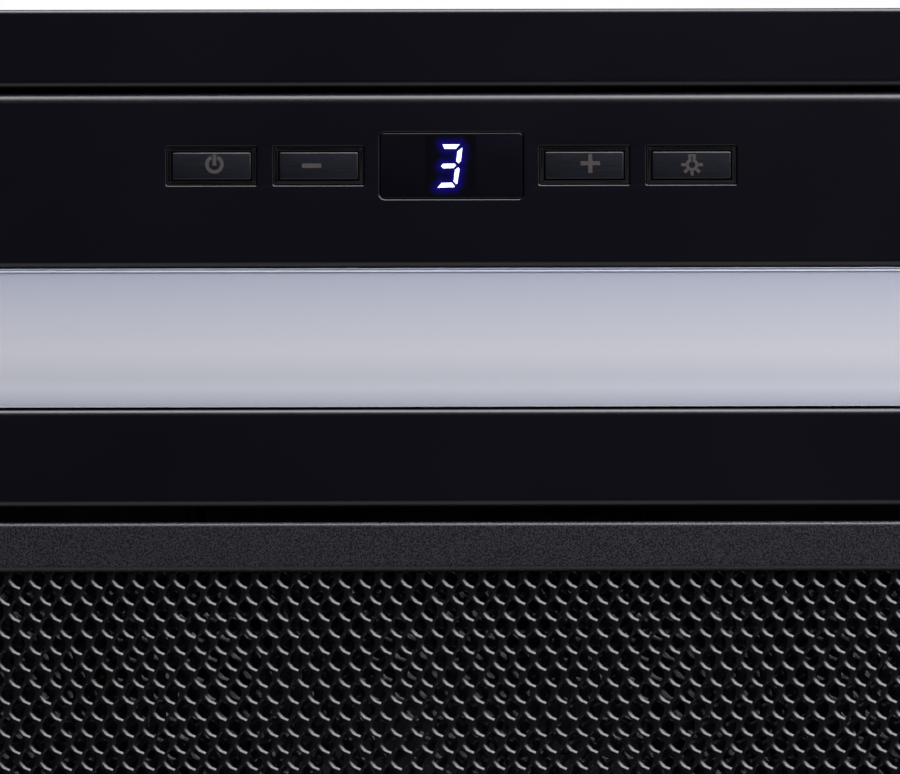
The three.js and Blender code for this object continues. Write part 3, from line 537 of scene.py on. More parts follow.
# Where each symbol's middle was printed, in mm from the middle of its cap.
SYMBOL_SHIFT = {"power": (0.85, -0.5), "minus": (-2.1, -0.05), "plus": (1.75, -0.6), "light": (0.15, -0.1)}
(power_x, power_y), (minus_x, minus_y), (plus_x, plus_y), (lamp_x, lamp_y) = [
    (BUTTON_X[side] + across * MM, along * MM) for side, (across, along) in SYMBOL_SHIFT.items()]

POWER_BAR = (1.1 * MM, 3.5 * MM)
POWER_BAR_Y = power_y - 1.35 * MM
printed("symbol_power", "power_button",
        ink_ring(power_x, power_y, outer=2.75 * MM, inner=1.7 * MM, gap=50),
        ink_bar(power_x, POWER_BAR_Y, POWER_BAR))
MINUS_BAR = (5.8 * MM, 1.3 * MM)
printed("symbol_minus", "minus_button", ink_bar(minus_x, minus_y, MINUS_BAR, corner=0.4 * MM))
PLUS_BAR = (5.7 * MM, 1.2 * MM)
plus_arm = (PLUS_BAR[0] - PLUS_BAR[1]) / 2
printed("symbol_plus", "plus_button", ink_bar(plus_x, plus_y, PLUS_BAR),
        *[ink_bar(plus_x, plus_y + side * (PLUS_BAR[1] + plus_arm) / 2, (PLUS_BAR[1], plus_arm))
          for side in (-1, 1)])
RAY = (1.3 * MM, 0.95 * MM)
RAY_REACH = 2.55 * MM
SOCKET_CAP = (2.3 * MM, 0.5 * MM)
SOCKET_SIDE = (0.95 * MM, 0.8 * MM)
SOCKET_CAP_Y = lamp_y - 2.85 * MM
SOCKET_SIDE_Y = lamp_y - 2.2 * MM
socket_x = (SOCKET_CAP[0] - SOCKET_SIDE[0]) / 2
rays = [ink_bar(lamp_x + RAY_REACH * math.cos(angle), lamp_y + RAY_REACH * math.sin(angle), RAY, angle)
        for angle in (math.radians(turn) for turn in (0, 45, 90, 135, 180))]
printed("symbol_lamp", "light_button", ink_bar(lamp_x, SOCKET_CAP_Y, SOCKET_CAP),
        *[ink_bar(lamp_x + side * socket_x, SOCKET_SIDE_Y, SOCKET_SIDE) for side in (-1, 1)],
        ink_ring(lamp_x, lamp_y, outer=1.85 * MM, inner=0.95 * MM, gap=15), *rays)

# ---- Display ---------------------------------------------------------
# A smoked acrylic window, polished, stands flush in the panel. Five of a numeral's seven
# segments shine through it, and the acrylic spreads a blue glow round each of them.


def smoked_acrylic():
    """Cast acrylic dyed nearly black and flame polished: a mirror-clean dark gloss, with the
    faintest waviness some 15 mm long."""
    return grained("cast_acrylic_smoked_polished", 15, 1.0, ("#0d0c12", "#110f16"), (0.02, 0.2),
                   Roughness=0.06, IOR=1.49)


def lit_segment():
    """A lit segment seen through the window: bluish white, mottled a touch bluer in patches about 1.5 mm
    across."""
    material, tree, shader, place = surface("lit_diode_segment_blue_white", Roughness=0.5)
    mottle = add_node(tree, "ShaderNodeTexNoise", {"Vector": place, "Scale": 1 / (1.5 * MM)})
    glow = tinted(tree, mottle.outputs["Fac"], "#e4ecff", "#ffffff")
    feed(tree, shader, {"Base Color": glow, "Emission Color": glow, "Emission Strength": 0.95})
    return material


def scattered_glow():
    """Smoked acrylic lit from within: the segments' light scatters a millimetre or two, deep
    blue, and fades into the dark gloss."""
    material, tree, shader, place = surface("smoked_acrylic_scattering_blue", Roughness=0.06, IOR=1.49)
    glow = add_node(tree, "ShaderNodeAttribute", attribute_name="glow")
    haze = add_node(tree, "ShaderNodeTexNoise", {"Vector": place, "Scale": 1 / (2.5 * MM), "Detail": 2.0})
    patchy = add_node(tree, "ShaderNodeMapRange",
                      {"Value": haze.outputs["Fac"], "To Min": 0.5, "To Max": 1.1})
    level = add_node(tree, "ShaderNodeMath", {0: glow.outputs["Fac"], 1: patchy.outputs["Result"]},
                     operation="MULTIPLY")
    blue = tinted(tree, level.outputs["Value"], "#000000", "#1a10c8", 0.06, 1.0)
    feed(tree, shader, {"Base Color": linear("#0a090e"), "Emission Color": blue, "Emission Strength": 0.45})
    return material


LENS_CORNER = 1.0 * MM
LENS_ROUND = 0.25 * MM
lens_low, lens_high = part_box("display_lens")
lens = block("lens", lens_low, lens_high)
edit(lens)
pick("edges", lambda edge: abs(edge.verts[0].co.z - edge.verts[1].co.z) > 1 * MM)
bpy.ops.mesh.bevel(offset=LENS_CORNER, segments=5, affect="EDGES")
pick("edges", lambda edge: all(vert.co.z < lens_low.z + 1e-6 for vert in edge.verts))
bpy.ops.mesh.bevel(offset=LENS_ROUND, segments=3, affect="EDGES")
smooth(lens, 40)
finished(lens, smoked_acrylic(), "root", "display_lens", slot="smoked_lens")

# Outlines of the lit segments from the middle of the window, in mm, front edge first.
LIT_SEGMENTS = (
    ((-2.68, -6.25), (2.42, -6.25), (1.27, -4.93), (-2.07, -4.93)),
    ((3.22, -5.32), (2.77, -1.37), (2.07, -0.69), (1.39, -1.22), (1.71, -4.12)),
    ((-3.10, 0.19), (-2.50, -0.55), (0.89, -0.60), (1.33, -0.10), (0.65, 0.72), (-2.36, 0.83)),
    ((1.98, 0.48), (2.36, 1.04), (1.71, 5.32), (1.27, 5.41), (0.59, 4.64), (1.00, 1.31)),
    ((-2.89, 5.08), (0.15, 5.05), (0.91, 6.06), (0.77, 6.38), (-4.16, 6.50)),
)
SEGMENT_SKIN = 0.06 * MM
GLOW_SKIN = 0.02 * MM
GLOW_REACH = 1.1 * MM
GLOW_PATCH = (15 * MM, 18 * MM)
GLOW_X = -0.3 * MM


def lit_bars():
    """The numeral three: five flat segments, joined in one skin on the window."""
    bars = []
    for outline in LIT_SEGMENTS:
        deselect()
        bpy.ops.mesh.primitive_circle_add(vertices=len(outline), fill_type="NGON")
        bar = bpy.context.object
        for vert, (x, y) in zip(bar.data.vertices, outline):
            vert.co = (x * MM, CONTROLS_Y + y * MM, lens_low.z)
        bars.append(bar)
    numeral = join("numeral", bars)
    face_down(numeral)
    apply_modifier(numeral, "SOLIDIFY", thickness=SEGMENT_SKIN, offset=1)
    return finished(numeral, lit_segment(), "root", slot="smoked_lens")


def distance_to_edge(x, y, outline):
    """How far a point lies from an outline, in mm."""
    best = math.inf
    for (x0, y0), (x1, y1) in zip(outline, outline[1:] + outline[:1]):
        along = ((x - x0) * (x1 - x0) + (y - y0) * (y1 - y0)) / ((x1 - x0) ** 2 + (y1 - y0) ** 2)
        along = min(1, max(0, along))
        best = min(best, math.hypot(x - x0 - along * (x1 - x0), y - y0 - along * (y1 - y0)))
    return best


def glow_film():
    """The layer of the window that glows, brightest beside the segments."""
    deselect()
    bpy.ops.mesh.primitive_grid_add(x_subdivisions=60, y_subdivisions=72, size=1)
    film = bpy.context.object
    film.scale = (*GLOW_PATCH, 1)
    film.location = (GLOW_X, CONTROLS_Y, lens_low.z)
    settle(film, "numeral_glow")
    face_down(film)
    apply_modifier(film, "SOLIDIFY", thickness=GLOW_SKIN, offset=1)
    glow = film.data.attributes.new("glow", "FLOAT", "POINT")
    for vert, value in zip(film.data.vertices, glow.data):
        x, y = vert.co.x / MM, (vert.co.y - CONTROLS_Y) / MM
        reach = min(distance_to_edge(x, y, outline) for outline in LIT_SEGMENTS)
        value.value = math.exp(-reach * MM / GLOW_REACH)
    return finished(film, scattered_glow(), "root", slot="smoked_lens")


lit_bars()
glow_film()


def dress(material, *names):
    """Gives CAD nodes that keep their shape their material."""
    for name in names:
        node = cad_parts[name]
        node.data.materials.clear()
        node.data.materials.append(material)


def solder_mask(name, dark, light):
    """A circuit board under a printed mask: glossy, with a texture 0.5 mm across below it. At a
    scale of 1 the wave repeats every 0.3 units."""
    material, tree, shader, place = surface(name, Roughness=0.35)
    weave = add_node(tree, "ShaderNodeTexWave",
                     {"Vector": place, "Scale": 0.3 / (0.5 * MM), "Distortion": 1.0})
    feed(tree, shader, {"Base Color": tinted(tree, weave.outputs["Fac"], dark, light)})
    return material


dress(BLACK_ABS, "button_carrier", "digit_module", "control_cover",
      *[f"switch_{side}" for side in BUTTON_X])
dress(solder_mask("glass_fibre_board_green", "#14502c", "#1e6a3c"), "control_board")

# ---- Light -----------------------------------------------------------
# An extruded channel of frosted acrylic closes the slot from wall to wall. Its long edges are
# stepped where it snaps in. Behind it a galvanised tray holds a strip of twenty diodes.


def frosted_acrylic():
    """Opal acrylic, extruded and matted: soft white, with die lines 0.6 mm apart along its length. Its
    colour carries painted shading across the slot: bluish and a little darker at the front edge, lightest in
    the middle, darkest at the rear edge."""
    material, tree, shader, place = surface("extruded_opal_acrylic_painted_shade", Roughness=0.42, IOR=1.49)
    axes = add_node(tree, "ShaderNodeSeparateXYZ", {"Vector": place})
    across = add_node(tree, "ShaderNodeMapRange",
                      {"Value": axes.outputs["Y"], "From Min": LIGHT_SLOT[2], "From Max": LIGHT_SLOT[3]})
    ramp = add_node(tree, "ShaderNodeValToRGB", {"Fac": across.outputs["Result"]})
    # Painted shading across the channel: a cool, darker front edge, a light middle and a dark rear edge.
    shades = ((0.0, "#b1b6c6"), (0.3, "#c1c3cd"), (0.6, "#cccdd1"), (0.85, "#bec0c8"), (1.0, "#8a8c96"))
    for position, shade in shades[1:-1]:
        ramp.color_ramp.elements.new(position)
    for element, (position, shade) in zip(ramp.color_ramp.elements, shades):
        element.position = position
        element.color = linear(shade)
    drawn = add_node(tree, "ShaderNodeMapping", {"Vector": place, "Scale": (0.01, 1, 1)})
    lines = add_node(tree, "ShaderNodeTexNoise",
                     {"Vector": drawn.outputs["Vector"], "Scale": 1 / (0.6 * MM), "Detail": 2.0})
    bump = add_node(tree, "ShaderNodeBump",
                    {"Height": lines.outputs["Fac"], "Distance": 0.01 * MM, "Strength": 0.15})
    feed(tree, shader, {"Base Color": ramp.outputs["Color"], "Normal": bump.outputs["Normal"]})
    return material


diffuser_low, diffuser_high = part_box("light_diffuser")
FRONT_LAP = 0.25 * MM  # how far the front edge stands in front of its solid
diffuser_low.y -= FRONT_LAP
CHANNEL_WALL = 1.2 * MM
CHANNEL_SIDE = diffuser_high.z - 2 * MM


def diffuser_profile():
    """The channel's visible side as places across it and heights, from front to rear. Both
    edges are stepped, in mm from the edge."""
    depth = (diffuser_high.y - diffuser_low.y) / MM
    front = [(0, 0.4), (0.3, 0.15), (0.6, 0.4), (1.1, 0.0), (1.5, 0.25)]
    crown = [(depth * part, 0.25) for part in (0.2, 0.35, 0.5, 0.65, 0.8)]
    rear = [(depth - 0.5, 0.25), (depth - 0.1, 0.1), (depth, 0.15)]
    return [(diffuser_low.y + across * MM, rise * MM) for across, rise in front + crown + rear]


profile = diffuser_profile()
diffuser = settle(plane((0, (diffuser_low.y + diffuser_high.y) / 2, 0),
                        (diffuser_high.x - diffuser_low.x, diffuser_high.y - diffuser_low.y)),
                  "diffuser")
edit(diffuser, "SELECT")
bpy.ops.mesh.flip_normals()
for y, _ in profile[1:-1]:
    bpy.ops.mesh.select_all(action="SELECT")
    bpy.ops.mesh.bisect(plane_co=(0, y, 0), plane_no=(0, 1, 0))
for y, rise in profile:
    pick("verts", lambda vert: abs(vert.co.y - y) < 1e-6)
    bpy.ops.transform.translate(value=(0, 0, diffuser_low.z + rise))
for y in (diffuser_low.y, diffuser_high.y):
    pick("edges", lambda edge: edge.is_boundary and abs(middle(edge).y - y) < 1e-6)
    draw_edges(CHANNEL_SIDE)
apply_modifier(diffuser, "SOLIDIFY", thickness=CHANNEL_WALL, offset=-1, use_even_offset=True)
smooth(diffuser, 25)
finished(diffuser, frosted_acrylic(), "root", "light_diffuser", slot="frosted_acrylic")


def galvanised_sheet():
    """Hot-dip galvanised sheet: zinc spangle some 9 mm across in two greys, each crystal with its
    own sheen, under a faint rolling grain."""
    material, tree, shader, place = surface("hot_dip_galvanised_steel", Metallic=1.0)
    spangle = add_node(tree, "ShaderNodeTexVoronoi", {"Vector": place, "Scale": 1 / (9 * MM)})
    crystal = add_node(tree, "ShaderNodeSeparateColor", {"Color": spangle.outputs["Color"]})
    grain = add_node(tree, "ShaderNodeTexNoise", {"Vector": place, "Scale": 1 / (0.8 * MM), "Detail": 3.0})
    sheen = add_node(tree, "ShaderNodeMapRange",
                     {"Value": crystal.outputs["Green"], "To Min": 0.34, "To Max": 0.5})
    bump = add_node(tree, "ShaderNodeBump",
                    {"Height": grain.outputs["Fac"], "Distance": 0.02 * MM, "Strength": 0.25})
    feed(tree, shader, {"Base Color": tinted(tree, crystal.outputs["Red"], "#7f858a", "#a0a6ab", 0, 1),
                        "Roughness": sheen.outputs["Result"], "Normal": bump.outputs["Normal"]})
    return material


GALVANISED = galvanised_sheet()
dress(GALVANISED, "light_tray")
dress(solder_mask("aluminium_board_white", "#dcdcd4", "#ecece6"), "led_strip")

# ---- Grease filter ---------------------------------------------------
# A folded steel channel, mitred at its corners and coated in a fine textured black, holds three
# layers of expanded steel mesh. It hangs on two straps and is held at the rear by a latch.


def textured_coat():
    """Fine-texture powder coat: wrinkled film with a grain 0.5 mm across that scatters light,
    so flat faces look charcoal and edges glint in points."""
    return grained("powder_coated_steel_fine_texture", 0.5, 3.0, ("#0c0c0f", "#35353c", 0.4, 0.62),
                   (0.1, 0.75), Roughness=0.4)


TEXTURED_BLACK = textured_coat()
rim_low, rim_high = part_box("filter_frame")
FRAME_BAR = 14.6 * MM
FRAME_SHEET = 1.0 * MM
FRAME_AREA = (rim_low.x, rim_high.x, rim_low.y, rim_high.y)
FRAME_WINDOW = inset(FRAME_AREA, FRAME_BAR)
FRAME_BEND = 1.4 * MM
FRAME_CORNER = 3 * MM
WINDOW_BEND = 2.1 * MM
WINDOW_LIP = 2.2 * MM
OPENING_CORNER = 2 * MM
frame_height = rim_high.z - rim_low.z
rim = blank("filter_rim", rim_low.z, (inset(FRAME_AREA, FRAME_BEND), FRAME_CORNER),
            (inset(FRAME_WINDOW, -WINDOW_BEND), OPENING_CORNER))
fold(FRAME_AREA, rim_low.z,
     upward(FRAME_BEND) + inward(RIM_BEND, frame_height) + [(FRAME_BAR, frame_height)])
fold(FRAME_WINDOW, rim_low.z, upward(WINDOW_BEND, -1, 5) + [(0, WINDOW_LIP)])
thicken(rim, FRAME_SHEET)
finished(rim, TEXTURED_BLACK, "filter", "filter_frame", slot="textured_black_steel")

# Expanded metal: a sheet slit in rows and drawn out, so that each opening is a leaning loop
# whose lower left strand stands up from the rest. Sizes are in mm and run rightwards and
# rearwards from the middle of an opening. A cell meets its neighbours at the tile's corners.
PITCH = (6.09, 4.876)
HOLE = ((-2.50, 1.25), (-1.20, 2.82), (0.53, 3.58), (1.35, 2.45), (1.95, 1.30), (2.15, 0.0),
        (1.85, -1.25), (0.85, -2.20), (-0.15, -2.75), (-1.20, -2.05), (-2.05, -0.90), (-2.50, 0.30))
TILE_CORNERS = ((-3.395, 1.426), (0.55, 4.15), (2.695, 1.426), (3.595, -0.726), (-0.35, -3.45),
                (-2.495, -0.726))
LEAN = (0.75, -0.35)
STRAND_DEPTH = 0.52
CELL_FACES = 4 * len(HOLE)
WELD = 0.02 * MM
# The notch of the mesh round the latch: half its width, and where it begins.
LATCH_SIDE = 25.5 * MM
LATCH_FRONT = 84 * MM


def coated_strands():
    """Electrocoated expanded steel: a thin, dull black film with a grain 0.8 mm across, which runs its
    colour at random between two near blacks."""
    return grained("electrocoated_expanded_steel", 0.8, 3.0, ("#070709", "#111115"), (0.05, 0.4),
                   Roughness=0.29)


def cell_rings():
    """The outlines of a cell from its front edge through the opening to its rear edge."""
    tile = []
    for (x0, y0), (x1, y1) in zip(TILE_CORNERS, TILE_CORNERS[1:] + TILE_CORNERS[:1]):
        tile += [(x0, y0), ((x0 + x1) / 2, (y0 + y1) / 2)]
    return [[(x, y, 0.0) for x, y in tile],
            [(x, y, 0.10) for x, y in HOLE],
            [(x + 0.12 * LEAN[0], y + 0.12 * LEAN[1], 0.20) for x, y in HOLE],
            [(x + LEAN[0], y + LEAN[1], STRAND_DEPTH) for x, y in HOLE],
            [(x, y, STRAND_DEPTH) for x, y in tile]]


def mesh_cell(scale, start):
    """One cell at the start point: a ring of edges, extruded from outline to outline."""
    deselect()
    bpy.ops.mesh.primitive_circle_add(vertices=len(HOLE), radius=1 * MM)
    cell = settle(bpy.context.object)
    edit(cell, "SELECT")
    for number, ring in enumerate(cell_rings()):
        if number:
            draw_edges()
        mesh = bmesh.from_edit_mesh(cell.data)
        mesh.verts.ensure_lookup_table()
        for vert, point in zip(mesh.verts[-len(HOLE):], ring):
            vert.co = [begin + part * size * MM for begin, part, size in zip(start, point, scale)]
        bmesh.update_edit_mesh(cell.data)
    return cell


def expanded_metal(name, node, scale, start, columns, rows):
    """A layer of expanded metal of pairs of cells, left open round the latch."""
    pitch = (abs(PITCH[0] * scale[0]) * MM, PITCH[1] * scale[1] * MM)
    second = (start[0] + pitch[0] / 2, start[1] + pitch[1], start[2])
    layer = join(name, [mesh_cell(scale, start), mesh_cell(scale, second)])
    for count, offset in ((columns, (pitch[0], 0, 0)), (rows, (0, 2 * pitch[1], 0))):
        apply_modifier(layer, "ARRAY", count=count, use_relative_offset=False, use_constant_offset=True,
                       constant_offset_displace=offset, use_merge_vertices=True, merge_threshold=WELD)
    edit(layer)
    mesh = bmesh.from_edit_mesh(layer.data)
    middles = {}
    for face in mesh.faces:
        middles.setdefault(face.index // CELL_FACES, []).append(middle(face))
    at_latch = set()
    for cell, points in middles.items():
        spot = sum(points, Vector()) / len(points)
        if abs(spot.x) < LATCH_SIDE and spot.y > LATCH_FRONT:
            at_latch.add(cell)
    pick("faces", lambda face: face.index // CELL_FACES in at_latch)
    bpy.ops.mesh.delete(type="FACE")
    bpy.ops.mesh.select_all(action="SELECT")
    bpy.ops.mesh.remove_doubles(threshold=WELD)
    pick("edges", lambda edge: edge.is_boundary)
    bpy.ops.mesh.bridge_edge_loops()
    face_outwards()
    smooth(layer, 50)
    return finished(layer, COATED_STRANDS, "filter", node, slot="coated_mesh")


COATED_STRANDS = coated_strands()
expanded_metal("mesh_front", "filter_mesh_front", scale=(1, 1, 1),
               start=(-207.63 * MM, -12.222 * MM, 1.7 * MM), columns=69, rows=13)
expanded_metal("mesh_core", "filter_mesh_core", scale=(-1.17, 1.12, 1.5),
               start=(-206.9 * MM, -11.5 * MM, 3.5 * MM), columns=58, rows=12)
expanded_metal("mesh_back", "filter_mesh_back", scale=(1.31, 1.21, 1.5),
               start=(-202.4 * MM, -11.0 * MM, 7.2 * MM), columns=51, rows=11)

# ---- Filter hooks and latch ------------------------------------------
# Two steel straps on the frame hook over the cross strip's lip. At the rear a moulded latch
# housing, set in a notch of the mesh, holds a slide with a finger recess and its coil spring.


def softened(material, body, slot, width, *names, segments=2):
    """Copies of CAD nodes with their edges rounded, as folding, moulding or tumbling leaves them."""
    for name in names:
        piece = copied(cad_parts[name], f"{name}_finished")
        edit(piece, "SELECT")
        bpy.ops.mesh.remove_doubles(threshold=0.001 * MM)
        bpy.ops.mesh.dissolve_limited(angle_limit=math.radians(1))
        apply_modifier(piece, "BEVEL", width=width, segments=segments, limit_method="ANGLE",
                       angle_limit=math.radians(40), use_clamp_overlap=True)
        weight_normals(smooth(piece, 32))
        finished(piece, material, body, name, slot=slot)


def drawn_steel():
    """Bright drawn steel, oiled: a fine mottle 0.4 mm across and a soft sheen."""
    return grained("drawn_steel_bright", 0.4, 2.0, ("#9b9ea2", "#c3c6c9"), (0.01, 0.3), Metallic=1.0,
                   Roughness=0.28)


DRAWN_STEEL = drawn_steel()
softened(TEXTURED_BLACK, "filter", "textured_black_steel", 0.3 * MM, "filter_hook_left", "filter_hook_right")
softened(BLACK_ABS, "filter", "black_plastic", 0.4 * MM, "latch_housing")
softened(BLACK_ABS, "latch", "black_plastic", 0.5 * MM, "latch_slide")

spring_low, spring_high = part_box("latch_spring")
SPRING_LENGTH = spring_high.y - spring_low.y
SPRING_AXIS = (0, spring_low.y, (spring_low.z + spring_high.z) / 2)
WIRE = 0.2 * MM  # radius of the wire
COIL = 1.5 * MM  # radius of the coil
TURNS = 4


def wound_spring():
    """A coil of round wire along Y, from its front end at the origin."""
    deselect()
    bpy.ops.mesh.primitive_circle_add(vertices=8, radius=WIRE, location=(COIL, WIRE, 0))
    coil = settle(bpy.context.object, "spring")
    apply_modifier(coil, "SCREW", axis="Y", screw_offset=(SPRING_LENGTH - 2 * WIRE) / TURNS,
                   iterations=TURNS, steps=20, render_steps=20)
    edit(coil, "SELECT")
    bpy.ops.mesh.fill_holes(sides=8)
    face_outwards()
    return smooth(coil, 50)


spring = wound_spring()
spring.location = SPRING_AXIS
settle(spring)
finished(spring, DRAWN_STEEL, "filter", "latch_spring", slot="bright_steel")
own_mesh(spring)

# ---- Housing ---------------------------------------------------------
# Walls, bay divider and the slightly thicker top are galvanised sheet, folded and riveted. Two
# brackets carry the panel, and two angles, screwed to the side walls, hang on the cabinet floor.

softened(GALVANISED, "root", "galvanised_steel", 0.3 * MM, "front_wall", "rear_wall", "left_wall",
         "right_wall", "top_panel", "bay_divider", "panel_bracket_left", "panel_bracket_right",
         "hanger_left", "hanger_right")


def fastener(radius, height, sides, pit):
    """A head on the plane z = 0 that faces up, with a softened rim and a pit in its middle."""
    deselect()
    bpy.ops.mesh.primitive_cylinder_add(vertices=sides, radius=radius, depth=height,
                                        location=(0, 0, height / 2))
    head = settle(bpy.context.object)
    edit(head)
    pick("edges", lambda edge: all(vert.co.z > height / 2 for vert in edge.verts))
    bpy.ops.mesh.bevel(offset=height * 0.5, segments=3, affect="EDGES")
    pick("faces", lambda face: face.normal.z > 0.99)
    bpy.ops.mesh.inset(thickness=radius * pit)
    raise_face(-height * 0.4)
    return smooth(head)


def fastened(name, head, *places):
    """Copies of a head at places with the ways they face, joined into one piece of bright steel."""
    heads = []
    for index, (place, way) in enumerate(places):
        twin = copied(head, f"{name}_{index}")
        twin.rotation_euler = Vector(way).to_track_quat("Z", "Y").to_euler()
        twin.location = place
        heads.append(settle(twin))
    bpy.data.objects.remove(head)
    return finished(join(name, heads), DRAWN_STEEL, "root", slot="bright_steel")


SIDES = (-1, 1)
WALL_X = 244.3 * MM
CORNER_Y = 141 * MM
SKIRT_X = 245.8 * MM
SKIRT_Y = 150.8 * MM
SKIRT_Z = 183 * MM
HANGER_X = 246.3 * MM
SCREW_Z = 50.5 * MM
corner_rivets = [((side * WALL_X, end * CORNER_Y, z * MM), (side, 0, 0))
                 for side in SIDES for end in SIDES for z in (34, 75, 116, 157)]
side_rivets = [((side * SKIRT_X, y * MM, SKIRT_Z), (side, 0, 0))
               for side in SIDES for y in (-110, -37, 37, 110)]
end_rivets = [((x * MM, end * SKIRT_Y, SKIRT_Z), (0, end, 0))
              for end in SIDES for x in (-205, -123, -41, 41, 123, 205)]
fastened("housing_rivets", fastener(3.2 * MM, 1.1 * MM, sides=20, pit=0.45),
         *corner_rivets, *side_rivets, *end_rivets)
hanger_places = [((side * HANGER_X, y * MM, SCREW_Z), (side, 0, 0)) for side in SIDES for y in (-80, 0, 80)]
fastened("hanger_washers", fastener(6.3 * MM, 1.0 * MM, sides=28, pit=0.3), *hanger_places)
fastened("hanger_screws", fastener(4.4 * MM, 3.6 * MM, sides=6, pit=0.35), *hanger_places)

# ---- Blower ----------------------------------------------------------
# A galvanised scroll with a wheel of forward-curved blades, open at both ends. The motor hangs in
# the wheel's left end on a pressed bracket of three arms.


def stoved_enamel():
    """Dark grey stoving enamel on the motor: half gloss over a casting grain 1.5 mm across."""
    return grained("stoved_enamel_dark_grey", 1.5, 3.0, ("#2d3033", "#3f4246"), (0.08, 0.4),
                   Roughness=0.38)


softened(GALVANISED, "root", "galvanised_steel", 0.2 * MM, "scroll_side_left", "scroll_side_right",
         "scroll_wrap", "motor_bracket")
softened(GALVANISED, "blower_wheel", "galvanised_steel", 0.15 * MM, "impeller", segments=1)
softened(DRAWN_STEEL, "blower_wheel", "bright_steel", 0.3 * MM, "motor_shaft")
softened(stoved_enamel(), "root", "motor_paint", 0.8 * MM, "motor")

# ---- Duct collar and damper ------------------------------------------
# The collar is spun from galvanised sheet with a stiffening bead and riveted to the top. Two
# aluminium half discs turn on a steel rod across it and fall shut when the blower stops.


def mill_aluminium():
    """Aluminium sheet as rolled: bright, with rolling lines 0.5 mm apart along it."""
    return grained("rolled_aluminium_sheet", 0.5, 3.0, ("#b2b5b8", "#cfd1d3"), (0.015, 0.3),
                   drawn=0.05, Metallic=1.0, Roughness=0.33)


MILL_ALUMINIUM = mill_aluminium()
softened(GALVANISED, "root", "galvanised_steel", 0.3 * MM, "duct_collar")
softened(DRAWN_STEEL, "root", "bright_steel", 0.3 * MM, "damper_rod")
DUCT_Y = 62 * MM
RING_RADIUS = 80.5 * MM
RING_TOP = 190.1 * MM
UP = (0, 0, 1)
fastened("collar_rivets", fastener(2.6 * MM, 1.0 * MM, sides=20, pit=0.45),
         *[((RING_RADIUS * math.cos(turn), DUCT_Y + RING_RADIUS * math.sin(turn), RING_TOP), UP)
           for turn in (math.radians(22.5 + 45 * step) for step in range(8))])
softened(MILL_ALUMINIUM, "front_flap", "aluminium", 0.25 * MM, "damper_flap_front")
softened(MILL_ALUMINIUM, "rear_flap", "aluminium", 0.25 * MM, "damper_flap_rear")

# ---- Electrics -------------------------------------------------------
# Power unit, light driver and motor capacitor are fixed to the bay divider; the supply enters a
# steel junction box on top through a gland. PVC leads and a ribbon join them.


def moulded_grey():
    """Grey moulded housings with a fine spark-eroded grain."""
    return moulded_abs("moulded_polycarbonate_grey", ("#5d6164", "#6c7073"), roughness=0.48, grain=0.5)


def pvc_sheath():
    """Extruded PVC sheath: black and soft looking, faintly rippled every 3 mm by the haul-off."""
    return grained("extruded_pvc_black", 3, 2.0, ("#151517", "#202023"), (0.1, 0.3), Roughness=0.45)


GREY_CASE = moulded_grey()
softened(GREY_CASE, "root", "grey_plastic", 1.0 * MM, "power_unit", "light_driver", segments=3)
softened(MILL_ALUMINIUM, "root", "aluminium", 0.8 * MM, "capacitor", segments=3)
softened(GALVANISED, "root", "galvanised_steel", 0.2 * MM, "capacitor_strap", "junction_box",
         "junction_cover")
softened(BLACK_ABS, "root", "black_plastic", 0.4 * MM, "cable_gland")
COVER_MIDDLE = (195 * MM, -100 * MM)
COVER_TOP = 228.6 * MM
fastened("cover_screws", fastener(3.1 * MM, 1.6 * MM, sides=20, pit=0.5),
         *[((COVER_MIDDLE[0] + x * MM, COVER_MIDDLE[1] + y * MM, COVER_TOP), UP)
           for x in (-38, 38) for y in (-22, 22)])
dress(GREY_CASE, "display_ribbon")
softened(pvc_sheath(), "root", "cable_sheath", 0.01 * MM, "supply_lead", "motor_lead", "light_lead",
         segments=1)

# ---- Camera, light and stage -----------------------------------------
# The unit is seen from straight below, front edge up, through a long lens. A wide soft light
# stands low in front and to the right, a weak one behind, and a large pale one hangs overhead.

PIXEL = 0.295 * MM
PHOTO_SIZE = (900, 774)
UNIT_MIDDLE = 452  # pixel column of the photograph
FRONT_EDGE = 8.6  # pixel row of the photograph
LENS = 300.0
SENSOR = 36.0
ROLL = math.radians(0.12)
camera_data = bpy.data.cameras.new("camera")
camera_data.lens = LENS
camera_data.sensor_width = SENSOR
camera_data.clip_start = 0.01
camera_data.clip_end = 500
camera = bpy.data.objects.new("camera", camera_data)
camera.location = ((PHOTO_SIZE[0] / 2 - UNIT_MIDDLE) * PIXEL,
                   FRONT + (PHOTO_SIZE[1] / 2 - FRONT_EDGE) * PIXEL,
                   -PHOTO_SIZE[0] * PIXEL * LENS / SENSOR)
camera.rotation_euler = (math.pi, 0, ROLL)
bpy.context.scene.collection.objects.link(camera)
bpy.context.scene.camera = camera


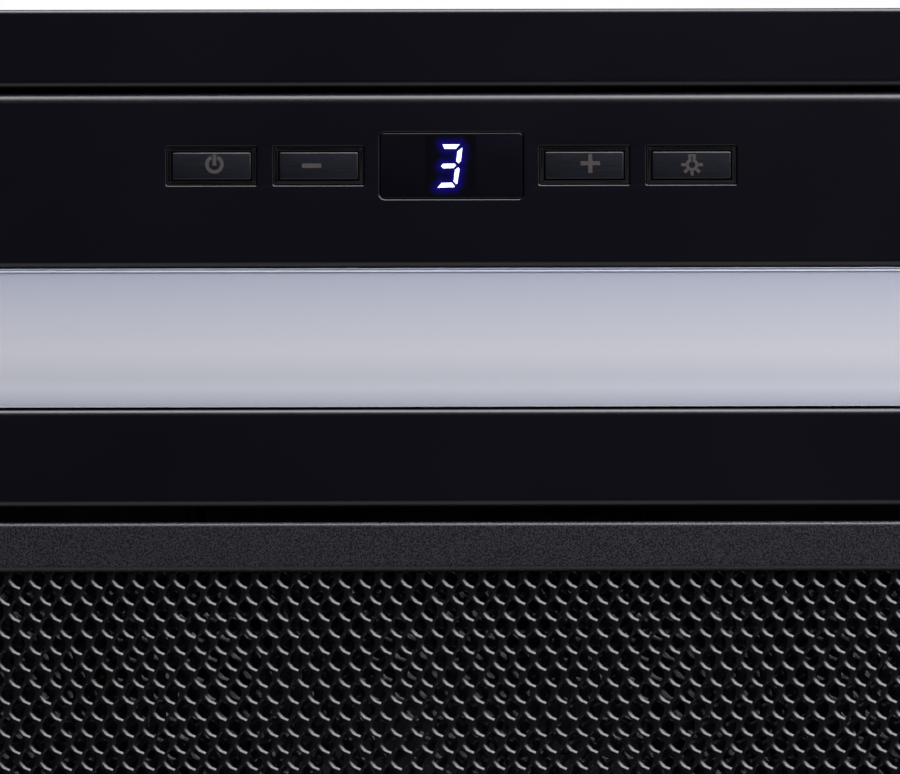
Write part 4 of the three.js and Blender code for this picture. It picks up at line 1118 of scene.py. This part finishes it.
def soft_light(name, place, target, size, power, colour="#ffffff"):
    """A wide light of a power in watts that shines from a place at a target, in metres."""
    data = bpy.data.lights.new(name, "AREA")
    data.shape = "RECTANGLE"
    data.size, data.size_y = size
    data.energy = power
    data.color = linear(colour)[:3]
    lamp = bpy.data.objects.new(name, data)
    lamp.location = place
    lamp.rotation_euler = (Vector(target) - Vector(place)).to_track_quat("-Z", "Y").to_euler()
    lamp.visible_camera = False
    bpy.context.scene.collection.objects.link(lamp)


soft_light("front_softbox", (0.75, -1.45, -0.4), (0.02, -0.05, 0.0), (3.0, 1.4), 136, "#fbfbff")
soft_light("rear_fill", (0.1, 1.35, -0.8), (0, 0, 0), (2.6, 1.3), 7.5)
soft_light("overhead", (-0.4, -0.3, 2.7), (0, 0, 0.1), (2.2, 2.2), 36)

FLOOR_SPAN = 300
FLOOR_Z = -12.0
floor = plane((0, 0, FLOOR_Z), (FLOOR_SPAN, FLOOR_SPAN))
floor.name = "floor"
floor_paint, floor_tree, floor_shader, _ = surface("pale_floor_paint", Roughness=0.9)
seen = add_node(floor_tree, "ShaderNodeLightPath").outputs["Is Camera Ray"]
floor_glow = add_node(floor_tree, "ShaderNodeMath", {0: seen, 1: 0.72}, operation="MULTIPLY")
feed(floor_tree, floor_shader, {"Base Color": tinted(floor_tree, seen, "#38384e", "#f2f2f2", 0, 1),
                                "Emission Color": linear("#ffffff"),
                                "Emission Strength": floor_glow.outputs["Value"]})
floor.data.materials.append(floor_paint)

world = bpy.data.worlds.new("studio")
bpy.context.scene.world = world
world.use_nodes = True
sky = world.node_tree
rays = add_node(sky, "ShaderNodeLightPath")
direction = add_node(sky, "ShaderNodeTexCoord")
height = add_node(sky, "ShaderNodeSeparateXYZ", {"Vector": direction.outputs["Generated"]})
mirrored = add_node(sky, "ShaderNodeMapRange", {"Value": height.outputs["Z"], "From Min": -0.2,
                                                "From Max": 0.2, "To Min": 0.04, "To Max": 0.6})
glossy = add_node(sky, "ShaderNodeMix", {0: rays.outputs["Is Glossy Ray"], 2: 0.12,
                                         3: mirrored.outputs["Result"]}, data_type="FLOAT")
strength = add_node(sky, "ShaderNodeMix", {0: rays.outputs["Is Camera Ray"], 2: glossy.outputs[0],
                                           3: 1.0}, data_type="FLOAT")
feed(sky, sky.nodes["Background"], {"Color": (1, 1, 1, 1), "Strength": strength.outputs[0]})

bpy.context.scene.view_settings.view_transform = "Standard"
